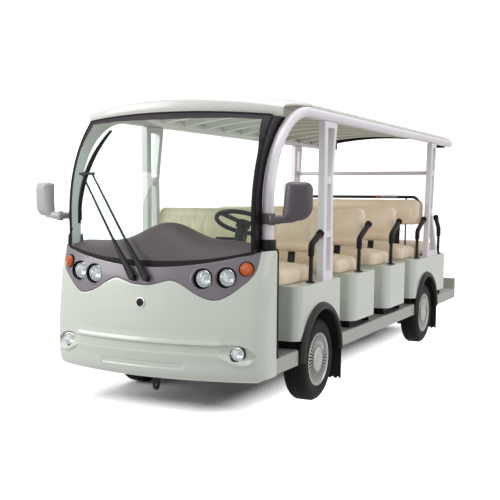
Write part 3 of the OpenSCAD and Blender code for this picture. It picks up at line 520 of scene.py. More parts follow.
def fascia():
    """Body coloured front: rows from the lower edge past the band, then evenly up to the mask or the cab's top."""
    line = plan_line(190, 20)
    rows, steps, side = [], 24, 8
    heights = sorted(set(span(FRONT_LOW, 320, 12) + span(320, BAND_TOP, 60) + [h for h, _ in BAND]))
    for k in range(len(heights) + steps):
        def level(top, y):
            if k < len(heights):
                lift = 20 * ease(690, HALF_W, abs(y))
                return heights[k] + lift * (BAND_TOP - heights[k]) / (BAND_TOP - FRONT_LOW)
            return BAND_TOP + (top - BAND_TOP) * (k - len(heights) + 1) / steps

        z = level(CAB_TOP, HALF_W)
        x = nose(z) + line[0][0]
        flank = [(CAB_REAR + (x - CAB_REAR) * i / side, HALF_W, z) for i in range(side)]
        row = list(flank)
        for px, y in line:
            z = level(min(CAB_TOP, mask_low(y) - 2), y)
            row.append((nose(z) + px + relief(y, z), y, z))
        row += [(x, -y, z) for x, y, z in reversed(flank)]
        rows.append([at(*p) for p in row])
    return holed(rows, [FOG], FOG_HOLE)


front = piece("front_moulding", *fascia(), "body_paint", replaces=["front_fascia"], smooth=50)
mod(front, "SOLIDIFY", thickness=0.012, offset=1)
mod(front, "BEVEL", width=0.0025, segments=3, limit_method="ANGLE", angle_limit=math.radians(55))


def mask_point(y, z):
    """Point of the mask, sunk at its lower edge and signals and raised round the lamps."""
    d = -2.5 * (1 - ease(0, 9, z - mask_low(y)))
    for ly, lz in LAMPS:
        r = math.hypot(abs(y) - ly, z - lz)
        d -= 8 * (1 - ease(59, 62, r))
        d += 3 * ease(60, 63, r) * (1 - ease(63, 72, r))
    r = math.hypot(abs(y) - SIGNAL[0], z - SIGNAL[1])
    d -= 6 * (1 - ease(37, 42, r))
    return at(nose(z) + plan(y) + d, y, z)


MASK_W = 698


def mask_rise(y):
    """Height of the mask from its waved edge to the glass."""
    return max(glass_low(y) - 0.5, mask_low(y) + 6) - mask_low(y)


mask_y = [MASK_W - 2 * MASK_W * i / 440 for i in range(441)]
rows = [[mask_point(y, mask_low(y) + mask_rise(y) * t) for y in mask_y] for t in span(0, 1, 48)]
mask = piece("lamp_surround", *holed(rows, LAMPS, LAMP_HOLE), "mask_plastic", replaces=["lamp_mask"], smooth=70)
mod(mask, "SOLIDIFY", thickness=0.008, offset=1)


# Windscreen, its black border and rubber

def on_glass(y, z, off=0):
    return (glass_x(z) - bow(y) + off, y, z)


def glass_patch(ys, zs, off):
    """Grid on the glass; zs gives the height for a column and a share."""
    return grid([[at(*on_glass(y, zs(y, t), off)) for y in ys] for t in span(0, 1, 48)])


def screen_z(y, t):
    return glass_low(y) + 1 + (glass_top(y) - 1 - glass_low(y)) * t


piece("windscreen_glass", *glass_patch(span(GLASS_W, -GLASS_W, 60), screen_z, 0), "screen_glass",
      replaces=["windscreen"], smooth=80)
PRINT = 0.8  # the border print lies this far outside the glass


def side_band(sign):
    """Print along one side of the glass, wider towards the top."""
    def inner(z):
        return GLASS_W - 16 - 34 * ease(1600, 1850, z)

    rows = []
    for t in span(0, 1, 48):
        z = glass_low(640) + (glass_top(GLASS_W) - glass_low(640)) * t
        rows.append([at(*on_glass(sign * (inner(z) + (GLASS_W - inner(z)) * u), z, PRINT)) for u in span(0, 1, 6)])
    return grid(rows)


def top_band(y, t):
    return glass_top(y) - (30 + 16 * math.exp(-(y / 420) ** 2)) * (1 - t)


def low_band(y, t):
    return glass_low(y) + (14 + 22 * math.exp(-(y / 420) ** 2)) * t


border = join(side_band(1), side_band(-1), glass_patch(span(616, -616, 60), top_band, PRINT),
              glass_patch(span(638, -638, 60), low_band, PRINT))
# ceramic border print: dense satin black round the glass
material("border_print", "ceramic_print", "#2a242a", 0.5, Specular_IOR_Level=0.15)
piece("windscreen_border", *border, "border_print", slot="black_plastic", smooth=80)
w = GLASS_W - 2
rim = [on_glass(y, glass_low(y) + 2, 0) for y in span(-w, w, 40)]
rim += [on_glass(w, z, 0) for z in span(glass_low(w), glass_top(w) - 4, 30)][1:]
rim += [on_glass(y, glass_top(y) - 2, 0) for y in span(w, -w, 40)]
rim += [on_glass(-w, z, 0) for z in span(glass_top(w) - 4, glass_low(w), 30)]
piece("windscreen_rubber", *tube(rim, 6, 8), "rubber")


def frame_plate(s):
    """Side plate from the edge of the glass back to the pillar, following the pillar's bend."""
    front = [(glass_x(z) - bow(GLASS_W) - 10, z) for z in span(CAB_TOP + 6, 1846, 16)]
    rear = [(152 + 608 * math.cos(a), 1300 + 608 * math.sin(a)) for a in span(1.115, 0, 36)]
    return prism(front + rear + [(760, CAB_TOP + 6)], s * 654 - 6.5, 13, lambda u, v, d: (u, d, v))


# frame paint: satin black outside, silver on the faces turned to the cab, painted near-white beyond the tubes' own
# silver as painted light where those faces are weakly lit
t, s = material("frame_paint", "frame_paint", "#1b181b", 0.4, Specular_IOR_Level=0.3)
face = add(t, "SeparateXYZ", {"Vector": add(t, "NewGeometry").outputs["Normal"]})
place = add(t, "SeparateXYZ", {"Vector": add(t, "TexCoord").outputs["Object"]})
turned = add(t, "Math", {0: face.outputs["Y"], 1: place.outputs["Y"]}, operation="MULTIPLY")
inner = add(t, "Math", {0: turned.outputs[0]}, operation="LESS_THAN")
inner.inputs[1].default_value = -0.3
# two-tone paint, its inner side lightened: painted light
blend(t, s, inner.outputs[0], ("#1b181b", "#f3eff5"))
piece("windscreen_side_frames", *join(frame_plate(1), frame_plate(-1)), "frame_paint", slot="black_plastic",
      replaces=["windscreen_frame"], smooth=30)
clips = [block((glass_x(z) - bow(642) - 4, s * 643 - 9, z - 11), (glass_x(z) - bow(642) + 6, s * 643 + 10, z + 11))
         for s in (1, -1) for z in (1150, 1690)]
edges(piece("windscreen_clips", *join(*clips), "black_plastic", smooth=30), 3)


# Dash: one moulding from the foot of the glass over its crest to the rear lip

DASH = [(0, 0, 0), (0.1, 0.27, 0), (0.28, 0.64, 0), (0.5, 0.9, 0), (0.72, 1, 0), (0.92, 0.99, 0), (0.99, 0.97, 8),
        (1, 0.96, 30), (0.98, 0.96, 100)]


def dash_top(y):
    return 1075 + 125 * math.exp(-(y / 230) ** 2) + 20 * math.exp(-((y - 430) / 160) ** 2)


def dash():
    keys = range(len(DASH))
    share, rise, drop = (spline([(k, DASH[k][i]) for k in keys]) for i in range(3))
    rows = []
    for t in span(0, len(DASH) - 1, 56):
        row = []
        for y in span(645, -645, 90):
            x, z = glass_x(1000) - bow(y) - 20, glass_low(y) + 8
            row.append(at(x + (640 - x) * share(t), y, z + (dash_top(y) - z) * rise(t) - drop(t)))
        rows.append(row)
    return grid(rows)


o = piece("dash_moulding", *dash(), "dash_plastic", replaces=["dashboard"], smooth=60)
mod(o, "SOLIDIFY", thickness=0.011, offset=1)


# Roof cap

# distance behind the top of the glass and height on the centre line
CAP = [(-2, 1880), (-7, 1905), (-6, 1930), (0, 1952), (14, 1966), (34, 1976), (62, 1984), (110, 1991), (200, 2002),
       (300, 2011), (400, 2018), (490, 2023), (580, 2026)]


def smooth_path(points, n):
    """Points along a rounded path through a few of them."""
    fx, fy = (spline([(k, p[i]) for k, p in enumerate(points)]) for i in (0, 1))
    return [(fx(t), fy(t)) for t in span(0, len(points) - 1, n)]


def cap_rows(width, half, drop):
    """Rows of the cap; half and drop give the roof's arch, which the rear edge follows."""
    arc = (half ** 2 + drop ** 2) / (2 * drop)
    (_, low_z), (deep, high_z), rear = CAP[0], CAP[-1], 130.5
    rows = []
    for d, z in smooth_path(CAP, 60):
        row = []
        for y in span(width, -width, 64):
            low = glass_top(y) + 0.5
            rise = (high_z - arc + math.sqrt(arc * arc - y * y) - low) / (high_z - low_z)
            x = max(glass_x(GLASS_TOP) - bow(y) * (1 - d / deep) - d, rear)
            row.append(at(x, y, low + (z - low_z) * rise))
        rows.append(row)
    return rows


cap = piece("roof_visor", *grid(cap_rows(704, 710, 80)), "roof_paint", replaces=["roof_front_cap"], smooth=60)
mod(cap, "SOLIDIFY", thickness=0.012, offset=1)
mod(cap, "BEVEL", width=0.003, segments=3, limit_method="ANGLE", angle_limit=math.radians(50))


# Lamps

# chrome: vacuum-plated reflectors with upright flutes that break up the reflection
t, s = material("chrome", "plated_chrome", "#f1f3f4", 0.2, metal=1.0)
place = add(t, "TexCoord")
ribs = add(t, "TexWave", {"Vector": place.outputs["Object"]}, bands_direction="Y", Scale=42.0)
emboss(t, s, ribs.outputs["Fac"], 1.2, 0.6)
# bulb glass: bright frosted tip
material("bulb", "bulb_glass", "#f6f6f2", 0.3, coat=0.5)


AHEAD, UP = (1, 0, 0), (0, 0, 1)


def surface_at(y, z, s=1, ahead=0):
    """Point of the front moulding at that distance from the centre line and height, on side s."""
    return (nose(z) + plan(y) + ahead, s * y, z)


def lamp(y, z, s, r, deep, ahead):
    """Reflector, lens, bezel and bulb of one round lamp, its lens edge that far ahead of the surface."""
    c = surface_at(y, z, s, ahead)
    bowl = [(4, -deep), (r * 0.45, -deep * 0.94), (r * 0.72, -deep * 0.7), (r * 0.9, -deep * 0.36), (r * 0.97, 0)]
    lens = [(r * 0.97, 1), (r * 0.9, 6), (r * 0.7, 11), (r * 0.4, 14.5), (0.5, 16)]
    ring = [(r * 0.96, -2), (r * 0.97, 3), (r, 6), (r * 1.06, 5), (r * 1.1, 0), (r * 1.1, -14)]
    tip = [(8, -deep), (8, -deep * 0.6), (6, -deep * 0.4), (0.5, -deep * 0.32)]
    return [lathe(p, c, AHEAD, n) for p, n in ((bowl, 48), (lens, 48), (ring, 48), (tip, 24))]


def signal_seat(s):
    """Place and direction of a turn signal."""
    return surface_at(*SIGNAL, s), (math.cos(0.42), s * math.sin(0.42), 0.1)


sets = [lamp(y, z, s, 49, 30, -27) for s in (1, -1) for y, z in LAMPS]
sets += [lamp(*FOG, s, 38, 24, relief(*FOG) + 4) for s in (1, -1)]
piece("lamp_reflectors", *join(*(q[0] for q in sets), *(q[2] for q in sets)), "chrome", slot="lamp_glass")
piece("lamp_lenses", *join(*(q[1] for q in sets)), "lamp_glass", replaces=["headlamps"], smooth=80)
piece("lamp_bulbs", *join(*(q[3] for q in sets)), "bulb", slot="lamp_glass")
# black rings behind the fog lamps, wells round the headlamps and rims of the turn signals: black pieces that deepen the
# recesses as painted shade
ring = [lathe([(41, -20), (45.5, -18), (46, -6), (41, -4)], surface_at(*FOG, s, relief(*FOG) + 3), AHEAD, 48)
        for s in (1, -1)]
ring += [lathe([(60.5, -3), (60, -8), (57, -60), (40, -62)], surface_at(y, z, s), AHEAD, 48)
         for s in (1, -1) for y, z in LAMPS]
ring += [lathe([(46, -8), (45, 3), (42, 5), (39, 2)], *signal_seat(s), 48) for s in (1, -1)]
# black wells: painted shade in the lamp recesses
piece("lamp_shade_wells", *join(*ring), "black_plastic")


def signal(s):
    """Domed lens with stepped rings."""
    dome = [(38.5, -10), (38.5, 6), (37, 13)]
    for i in range(1, 10):
        r = 36 * (1 - i / 10)
        crown = 13 * (1 - (r / 38) ** 2)
        dome += [(r + 1.6, 13 + crown), (r + 0.2, 12.2 + crown)]
    return lathe(dome + [(0.3, 26)], *signal_seat(s), 48)


piece("turn_signal_lenses", *join(signal(1), signal(-1)), "amber_lens", replaces=["turn_signals"], smooth=35)
DISC_Z = 735
disc = (nose(DISC_Z) - bow(0), 0, DISC_Z), (1, 0, 0.09)
piece("nose_disc", *lathe([(25, 0), (24, 7), (0.4, 8)], *disc, 48), "black_plastic")
piece("nose_disc_ring", *lathe([(30, -8), (30, 4), (28, 8), (25.5, 8.6), (24, 6)], *disc, 48), "chrome",
      slot="black_plastic")


# Wheels: finned covers and treaded tyres

def polar(height, radii, n, y, z, x, out):
    """A disc about the wheel's axis: height(r, angle) is measured outward from the wheel's middle."""
    return grid([[at(x + r * math.cos(a), y + out * height(r, a), z + r * math.sin(a))
                  for a in (2 * math.pi * k / n * out for k in range(n))] for r in radii], True)


# wheel cover: radii of dome, fins and edge; heights of dome and fins, fall and number of the fins, depth of the slots
# and of the dark floor in them; the dark floor is a black disc of painted shade
DOME_R, FIN_R, EDGE_R = 76, 171, 182
DOME_H, FIN_H, FIN_FALL, FINS, SLOT, SLOT_FLOOR = 88, 76, 6, 38, 16, 4.5


def cover(r, a):
    """Height of the wheel cover: dome, fins with slots between them, rolled edge."""
    if r < DOME_R:
        return DOME_H - (DOME_H - FIN_H) * (r / DOME_R) ** 2.4
    if r < FIN_R:
        t = (r - DOME_R) / (FIN_R - DOME_R)
        fin = ease(0.4, 0.7, 0.5 + 0.5 * math.cos(FINS * a + 0.6 * t))
        return FIN_H - FIN_FALL * t - SLOT * (1 - fin) * ease(0, 0.12, t) * (1 - ease(0.9, 1, t))
    roll = 3 * math.sin(math.pi * (r - FIN_R) / (EDGE_R - FIN_R))
    return FIN_H - FIN_FALL + 5 * ease(FIN_R, FIN_R + 3, r) + roll - 3 * ease(EDGE_R - 6, EDGE_R - 1, r)


def slot_floor(r, a):
    return FIN_H - FIN_FALL * (r - DOME_R) / (FIN_R - DOME_R) - SLOT_FLOOR


def tread(r_out, half, n, across):
    """Outer surface of the tyre from bead to bead with grooves and shoulder blocks."""
    prof = [(167, half - 24), (173, half - 13), (182, half - 6), (196, half - 2), (214, half), (228, half - 0.5),
            (240, half - 3), (252, half - 8), (263, half - 15), (271, half - 23), (276, half - 32)]
    path = smooth_path(prof, 18)
    path += [(r_out - 1.6 + 1.6 * math.cos(h / 54 * 1.2), h) for h in span(half - 36, -half + 36, across)]
    path += [(r, -h) for r, h in reversed(smooth_path(prof, 9))]
    deep, pitches = 6.5, 64

    def cut(r, h, a):
        """Depth of groove or sipe at a point, or the rise of the rings on the side wall."""
        if r <= 262:
            return -0.9 if 184 < r < 190 or 232 < r < 235 else 0
        d = sum(deep * (1 - ease(3.4, 5, abs(h - g))) for g in (-36, -12.5, 12.5, 36))
        zig = (a * pitches / (2 * math.pi) + (h / 46 if abs(h) > 20 else -h / 30)) % 1
        if abs(h) > 38 or abs(abs(h) - 24) < 10:
            d += 4.5 * (1 - ease(0.05, 0.11, abs(zig - 0.5))) * (1 - ease(74, 79, abs(h)))
        return min(d, deep)

    turns = [2 * math.pi * k / n for k in range(n)]
    return [[(r - cut(r, h, a), a, h) for a in turns] for r, h in path]


TREAD = tread(280, 82.5, 384, 32)


def tyre_mesh(x, y, z, out):
    return grid([[at(x + r * math.cos(a), y + out * h, z + r * math.sin(a) * out) for r, a, h in row]
                 for row in TREAD], True)


COVER_R = span(0.5, DOME_R, 12) + span(DOME_R, FIN_R, 24)[1:] + span(FIN_R, EDGE_R, 10)[1:]
RIM = [(178, 76), (179, 71), (166, 58), (165, -58), (179, -74), (178, -79), (152, -76), (150, -58), (150, 20), (52, 26),
       (48, -38), (21, -38)]
WHEELS_X = {"front": 0, "rear": (REAR_X - AXLE_X) * 1000}
for end, x in WHEELS_X.items():
    for side, out in (("left", 1), ("right", -1)):
        body = f"{end}_{side}_wheel"
        y, z = out * TYRE_Y * 1000, HUB_Z * 1000
        disc = polar(cover, COVER_R, 304, y, z, x, out)
        rim = lathe(RIM, (x, y, z), (0, out, 0), 96)
        # black disc under the slots: painted shade seen through the cover
        dark = polar(slot_floor, span(DOME_R, FIN_R, 4), 96, y, z, x, out)
        piece(f"{end}_{side}_wheel_slot_shade", *dark, "black_plastic", body)
        piece(f"{end}_{side}_wheel_cover", *join(disc, rim), "wheel_silver", body, replaces=[body], smooth=35)
        piece(f"{end}_{side}_tyre_tread", *tyre_mesh(x, y, z, out), "tyre", body, replaces=[f"{end}_{side}_tyre"])


# Wheel arch lips and mud flaps

ARCH_Z = 295
# radius and distance from the centre line round the lip's section
LIP = [(326, 742), (326, 766), (329, 772), (337, 776), (350, 775), (361, 768), (369, 757), (373, 745.5)]


def arches(s):
    parts = []
    for x in WHEELS_X.values():
        turns = [math.radians(d) for d in span(2.5, 177.5, 72)]
        parts.append(grid([[at(x + r * math.cos(a), s * y, ARCH_Z + r * math.sin(a)) for a in turns]
                           for r, y in smooth_path(LIP, 18)]))
    return join(*parts)


# arch rubber: charcoal moulded trim, a shade paler than the tyres
material("arch_rubber", "arch_trim_rubber", "#262322", 0.5, (1.6, 0.02), Specular_IOR_Level=0.3)
trim = piece("wheel_arch_lips", *join(arches(1), arches(-1)), "arch_rubber", slot="black_plastic",
             replaces=["arch_trims"], smooth=60)
mod(trim, "SOLIDIFY", thickness=0.003, offset=-1)


def flap(s):
    """Flaps with a toothed lower edge behind the wheels of one side."""
    inner, outer, low, tooth = 560, 762, 82, 16
    teeth = [(inner + (outer - inner) * i / 10, low + (tooth if i % 2 else 0)) for i in range(11)]
    shape = teeth + [(outer, 345), (742, 395), (742, 434), (inner, 434)]
    return join(*(prism(shape, x - 357, 6, lambda u, v, d: (d, s * u, v)) for x in WHEELS_X.values()))


piece("mud_flaps", *join(flap(1), flap(-1)), "rubber", replaces=["mudflaps"], smooth=30)


# Handles beside the seats

# front and rear end of each seat box and place of its handle, and the boxes' top
BOX_X = [(376, -380, 70), (-668, -1150, -895), (-1503, -1990, -1715), (-2302, -3400, -2525)]
TOP, HANDLE_Y = 800, 693
# foot, way of the lean, reach of the sleeve and its rise, sides
HANDLES = [(BOX_X[0][2], 1, 160, 68, (1,))] + [(b[2], 1, 214, 102, (1, -1)) for b in BOX_X[1:]]
HANDLES += [(-3320, -1, 132, 114, (1, -1))]


def handle(x, back, reach, rise, s, what):
    """Post, sleeve or end clamp of one handle."""
    y = s * HANDLE_Y
    lean = [(x, y, TOP), (x - back * 4, y, TOP + 185)]
    if what == "post":
        foot = lathe([(31, 0), (31, 6), (27, 10), (0.5, 10)], (x, y, TOP), UP, 32)
        return join(tube(lean, 14, 20), foot)
    bend = rounded([(x - back * 4, y, TOP + 176), (x - back * 6, y, TOP + 252),
                    (x - back * (6 + reach), y, TOP + 252 + rise)], 46, 8)
    if what == "sleeve":
        return tube([bend[0] - Vector((0, 0, 4))] + bend, [15] + [21.5] * len(bend), 24)
    a, b = Vector(bend[-2]), Vector(bend[-1])
    u = (b - a).normalized()
    clamp = tube([b - u * 26, b - u * 24, b + u * 4, b + u * 6], [22, 27, 27, 20], 24)
    return join(clamp, tube([b + u * 4, b + u * 14], 13, 16))


for what, mat in (("post", "painted_steel_black"), ("sleeve", "black_plastic"), ("clamp", "rubber")):
    parts = [handle(x, back, reach, rise, s, what) for x, back, reach, rise, sides in HANDLES for s in sides]
    o = piece(f"grab_handle_{what}s", *join(*parts), mat, smooth=50)
    if what == "sleeve":
        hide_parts("grab_handles")


# Seats: crowned pads with a stitched border, filled by a short cloth run

def outline(a, b, corner):
    """Rounded rectangle of half sizes a and b, always with the same number of points."""
    u, v, arc = max(a - corner, 0), max(b - corner, 0), 8
    pts = []
    # corner's middle, start of its arc, end and steps of the straight side after it
    for ox, oy, start, end, steps in ((u, v, 0, (-u, v + corner), 36), (-u, v, 90, (-u - corner, -v), 14),
                                      (-u, -v, 180, (u, -v - corner), 36), (u, -v, 270, (u + corner, v), 14)):
        turns = [math.radians(start + 90 * i / arc) for i in range(arc + 1)]
        pts += [(ox + corner * math.cos(k), oy + corner * math.sin(k)) for k in turns]
        lx, ly = pts[-1]
        pts += [(lx + (end[0] - lx) * i / steps, ly + (end[1] - ly) * i / steps) for i in range(1, steps)]
    return pts


def pad(width, depth, thick, corner, edge, crown, groove):
    """Rings of a pad from its underside over the rolled edge to the crown; groove is the stitched line's inset."""
    rings = [(depth / 2 - 3, 0), (depth / 4, 0), (40, 0), (12, 0), (4, 3), (0, 10)]
    rings += [(0, thick - edge - (thick - edge - 12) * (1 - t)) for t in (0.25, 0.5, 0.75, 1)]
    rings += [(edge * (1 - math.cos(a)), thick - edge + edge * math.sin(a)) for a in span(0, math.pi / 2, 9)[1:]]
    deep = depth / 2 - 3
    for k in span(edge, deep, 30)[1:]:
        share = (k - edge) / (deep - edge)
        dip = 5 * math.exp(-((k - groove) / 7) ** 2)
        rings.append((k, thick + crown * (1 - (1 - share) ** 2) - dip))
    return capped([[(u, v, h) for u, v in outline(width / 2 - k, depth / 2 - k, max(corner - k, 2))] for k, h in rings])


VOXEL, FRAMES, MAX_MOVE = 0.0095, 20, 0.009


def stuffed(name, verts, faces, fixed):
    """Mesh of a pad after a short cloth run under inner pressure; fixed(v) holds seams and the underside."""
    mesh = bpy.data.meshes.new(name)
    mesh.from_pydata([tuple(c / 1000 for c in v) for v in verts], [], faces)
    o = bpy.data.objects.new(name, mesh)
    scene.collection.objects.link(o)
    mod(o, "REMESH", mode="VOXEL", voxel_size=VOXEL, use_smooth_shade=True)
    dg = bpy.context.evaluated_depsgraph_get()
    mesh = bpy.data.meshes.new_from_object(o.evaluated_get(dg))
    o.modifiers.clear()
    o.data = mesh
    start = [v.co.copy() for v in mesh.vertices]
    hold = o.vertex_groups.new(name="seams")
    hold.add([v.index for v in mesh.vertices if fixed(v.co * 1000)], 1.0, "REPLACE")
    cloth = mod(o, "CLOTH")
    set_ = cloth.settings
    set_.quality = 4
    set_.mass = 0.4
    set_.use_pressure = True
    set_.uniform_pressure_force = 4
    set_.effector_weights.gravity = 0
    set_.vertex_group_mass = "seams"
    set_.shrink_min = -0.012
    set_.tension_stiffness = set_.compression_stiffness = 12
    set_.bending_stiffness = 1.2
    cloth.point_cache.frame_start, cloth.point_cache.frame_end = 1, FRAMES
    for f in range(1, FRAMES + 1):
        scene.frame_set(f)
    dg = bpy.context.evaluated_depsgraph_get()
    done = bpy.data.meshes.new_from_object(o.evaluated_get(dg))
    for v, s in zip(done.vertices, start):
        move = v.co - s
        if move.length > MAX_MOVE:
            v.co = s + move * (MAX_MOVE / move.length)
    bpy.data.objects.remove(o)
    scene.frame_set(1)
    return done


def seat(name, mesh, place, node):
    """A placed pad: place maps the pad's width, depth and height axes into the bus."""
    o = bpy.data.objects.new(name, mesh.copy())
    scene.collection.objects.link(o)
    o.data.materials.append(MATS["seat_vinyl"])
    o.data.polygons.foreach_set("use_smooth", [True] * len(o.data.polygons))
    o.data.transform(place)
    if place.determinant() < 0:
        o.data.flip_normals()
    mod(o, "SMOOTH", iterations=3, factor=0.4)
    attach(o, "chassis")
    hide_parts(node)


def frame_of(u, v, h, origin):
    """Matrix that puts a pad's axes along three directions from a point."""
    m = Matrix((u, v, h)).transposed().to_4x4()
    m.translation = Vector(at(*origin))
    return m


def seams(depth, width, thick, groove):
    """What the cloth run holds: the underside and the stitched line."""
    def fixed(p):
        inset = min(width / 2 - abs(p.x), depth / 2 - abs(p.y))
        return p.z < 14 or abs(inset - groove) < 7 and p.z > thick * 0.6
    return fixed


def cushion(name, depth, width=1250, thick=108, groove=62):
    return stuffed(name, *pad(width, depth, thick, 60, 46, 13, groove), seams(depth, width, thick, groove))


def backrest(name, tall, groove, width=1290, thick=66):
    return stuffed(name, *pad(width, tall, thick, 46, 28, 10, groove), seams(tall, width, thick, groove))


# depths of the cushions, heights of the backrests, overhang of the cushions and gap below them
LONG, SHORT, FRONT, LOW, HIGH, OVER, GAP = 490, 435, 550, 294, 231, 20, 0.6
long_pad, short_pad = cushion("deep_cushion", LONG), cushion("bench_cushion", SHORT)
low_back, high_back = backrest("bench_back", LOW, 56), backrest("rear_back", HIGH, 50)
across, back, up = Vector((0, 1, 0)), Vector((-1, 0, 0)), Vector((0, 0, 1))
# the front cushion is the deep one stretched back to its backrest
for i, b in enumerate(BOX_X):
    depth, stretch = (FRONT, FRONT / LONG) if i == 0 else (SHORT, 1)
    seat(f"cushion_{i + 1}", long_pad if i == 0 else short_pad,
         frame_of(across, back * stretch, up, (b[0] + OVER - depth / 2, 0, TOP + GAP)), "seat_cushions")
seat("cushion_5", long_pad, frame_of(across, -back, up, (BOX_X[3][1] - OVER + LONG / 2, 0, TOP + GAP)), "seat_cushions")
# foot of each backrest, its lean in degrees, the way it faces, its mesh and height
BACKS = [(x, 980, 10, 1, low_back, LOW) for x in (-215, -1130, -1970)]
BACKS += [(-2768, 1100, 4, 1, high_back, HIGH), (-2844, 1100, 4, -1, high_back, HIGH)]
for i, (x, z, lean, way, mesh, tall) in enumerate(BACKS):
    a = math.radians(lean)
    rise = Vector((-way * math.sin(a), 0, math.cos(a)))
    out = Vector((way * math.cos(a), 0, math.sin(a)))
    mid = Vector((x, 0, z)) + rise * tall / 2
    seat(f"backrest_{i + 1}", mesh, frame_of(across, rise, out, mid), "backrests")


# Mirrors

def mirror_ring(inset):
    """Outline of the mirror drawn in by an inset: four corners of their own radius."""
    pts = []
    for cx, cy, r, a0, a1, n in ((8, -35, 80, -90, 0, 16), (43, 60, 45, 0, 90, 10), (-43, 80, 25, 90, 180, 8),
                                 (-78, -105, 10, 180, 270, 5)):
        keep = max(r - inset, 0.6)
        shift = inset - (r - keep)
        ox, oy = cx - math.copysign(shift, cx), cy - math.copysign(shift, cy)
        pts += [(ox + keep * math.cos(a), oy + keep * math.sin(a)) for a in (math.radians(d) for d in span(a0, a1, n))]
    return pts


MIRROR, TILT = Vector((786, 895, 1345)), math.radians(20)
# the pillar's place, the height of the mirror's band on it and the bend of the mirror's arm
PILLAR_X, PILLAR_Y, BAND_Z, ELBOW = 752, 695, 1236, (832, 757, 1232)


def on_mirror(d, u, v, s):
    """Point at that depth, width and height from the mirror's middle."""
    x, y = d * math.cos(TILT) - u * math.sin(TILT), d * math.sin(TILT) + u * math.cos(TILT)
    return at(MIRROR.x + x, s * (MIRROR.y + y), MIRROR.z + v)


def housing(s):
    """Shell from its rim to the rounded back; rings hold inset and depth."""
    rings = [(6, -1), (3, -4), (0, -4), (0, 16), (1.5, 30), (6, 41), (14, 50), (26, 56), (42, 60), (60, 62)]
    rows = [[on_mirror(d - (u / 190) ** 2 * 95 * max(d, 0) / 60, u, v, s) for u, v in mirror_ring(k)] for k, d in rings]
    return capped(rows)


def stalk(s):
    """Arm from the mirror to its band round the pillar."""
    path = rounded([(-2, -148, -113), (12, -95, -110), (18, -20, -104), (18, 40, -84)], 60, 8)
    rows = []
    for i, p in enumerate(path):
        w = 25 - 6 * i / len(path)
        rows.append([on_mirror(p.x + 0.8 * w * math.cos(a), p.y, p.z + w * math.sin(a), s)
                     for a in (2 * math.pi * k / 20 for k in range(20))])
    elbow = (ELBOW[0], s * ELBOW[1], ELBOW[2])
    knuckle = lathe([(0.5, -31), (18, -30), (21, -27), (21, 27), (18, 30), (0.5, 31)], elbow, UP, 32)
    arm = tube([(770, s * 722, BAND_Z), elbow], 22, 20)
    band = lathe([(34.6, -32), (42, -31), (44, -28), (44, 28), (42, 31), (34.6, 32)],
                 (PILLAR_X, s * PILLAR_Y, BAND_Z), UP, 48)
    return join(capped(rows), knuckle, arm, band)


# mirror shell: dark violet-grey moulding with a low gloss
material("mirror_shell", "mirror_moulding", "#4b434a", 0.36, (1.5, 0.015), coat=0.1)
# the right mirror's shell: the same moulding painted a paler silver-grey, painted light and reflection, with the same
# low gloss
material("pale_mirror_shell", "painted_lit_mirror_moulding", "#aeaaad", 0.34, (1.5, 0.015), coat=0.1)
# the right mirror takes the paler copy of the shell: painted light
for side, s, mat in (("left", 1, "mirror_shell"), ("right", -1, "pale_mirror_shell")):
    v, f = join(housing(s), stalk(s))
    piece(f"{side}_mirror_shell", v, [q[::s] for q in f], mat, slot="black_plastic", replaces=["mirrors"], smooth=50)


# Wiper

def flat_bar(p, q, wide, high, n=10):
    """A tapered rounded bar; wide and high are its sizes at both ends."""
    p, q = Vector(p), Vector(q)
    ahead = (q - p).normalized()
    out = Vector((1, 0, 0))
    out = (out - ahead * out.dot(ahead)).normalized()
    side = ahead.cross(out)

    def swell(v):
        return math.copysign(abs(v) ** 0.6, v)

    rows = []
    for t in span(0, 1, n):
        w, h = wide[0] + (wide[1] - wide[0]) * t, high[0] + (high[1] - high[0]) * t
        rows.append([at(*(p + (q - p) * t + side * swell(math.cos(a)) * w / 2 + out * swell(math.sin(a)) * h / 2))
                     for a in (2 * math.pi * k / 16 for k in range(16))])
    return capped(rows)


# height of the joint between arms and blade, and the blade's lower and upper end
JOINT_Z, BLADE_LOW, BLADE_TOP = 1500, 1190, 1772
parts = []
for y in (-58, 38):
    root = Vector((nose(874) - bow(y) + 22, y, 881))
    tip = Vector(on_glass(y - 466, JOINT_Z, 34))
    knee = root + (tip - root) * 0.36 + Vector((6, 0, 0))
    parts += [lathe([(19, -22), (19, 4), (16, 11), (0.5, 13)], root, (0.966, 0, 0.259), 32),
              flat_bar(root, knee, (50, 18), (24, 18)), flat_bar(knee, tip, (14, 11), (13, 9))]
parts.append(flat_bar(on_glass(-545, JOINT_Z, 36), on_glass(-410, JOINT_Z, 32), (16, 16), (12, 12)))
blade = spline([(BLADE_LOW, -540), (1345, -522), (JOINT_Z, -490), (1640, -446), (BLADE_TOP, -388)])
arch = [math.sin(math.pi * t) for t in span(0, 1, 20)]
spine = [on_glass(blade(z), z, 20 + 8 * a) for z, a in zip(span(BLADE_LOW, BLADE_TOP, 20), arch)]
parts.append(tube(spine, [5 + 8 * max(a, 0) ** 0.7 for a in arch], 12))
lip = [on_glass(p[1], p[2], 7) for p in spine]
parts.append(tube(lip, 5, 8))
parts += [tube([spine[i], lip[i]], 7, 8) for i in (2, 6, 10, 14, 18)]
parts.append(lathe([(0.5, -10), (15, -8), (17, 0), (15, 8), (0.5, 10)], on_glass(-490, JOINT_Z, 30), (1, 0, 0.4), 24))
piece("wiper_set", *join(*parts), "black_plastic", replaces=["wiper"], smooth=50)


# Rubber edging of the front moulding and the pillars' collars

def edging(s):
    """Rubber down the rear edge of the front moulding."""
    line = [(728, CAB_TOP + 4), (716, CAB_TOP - 10), (716, 470), (716, 414), (700, 408)]
    return tube(rounded([(x, s * 742, z) for x, z in line], 24, 5), 9, 12)


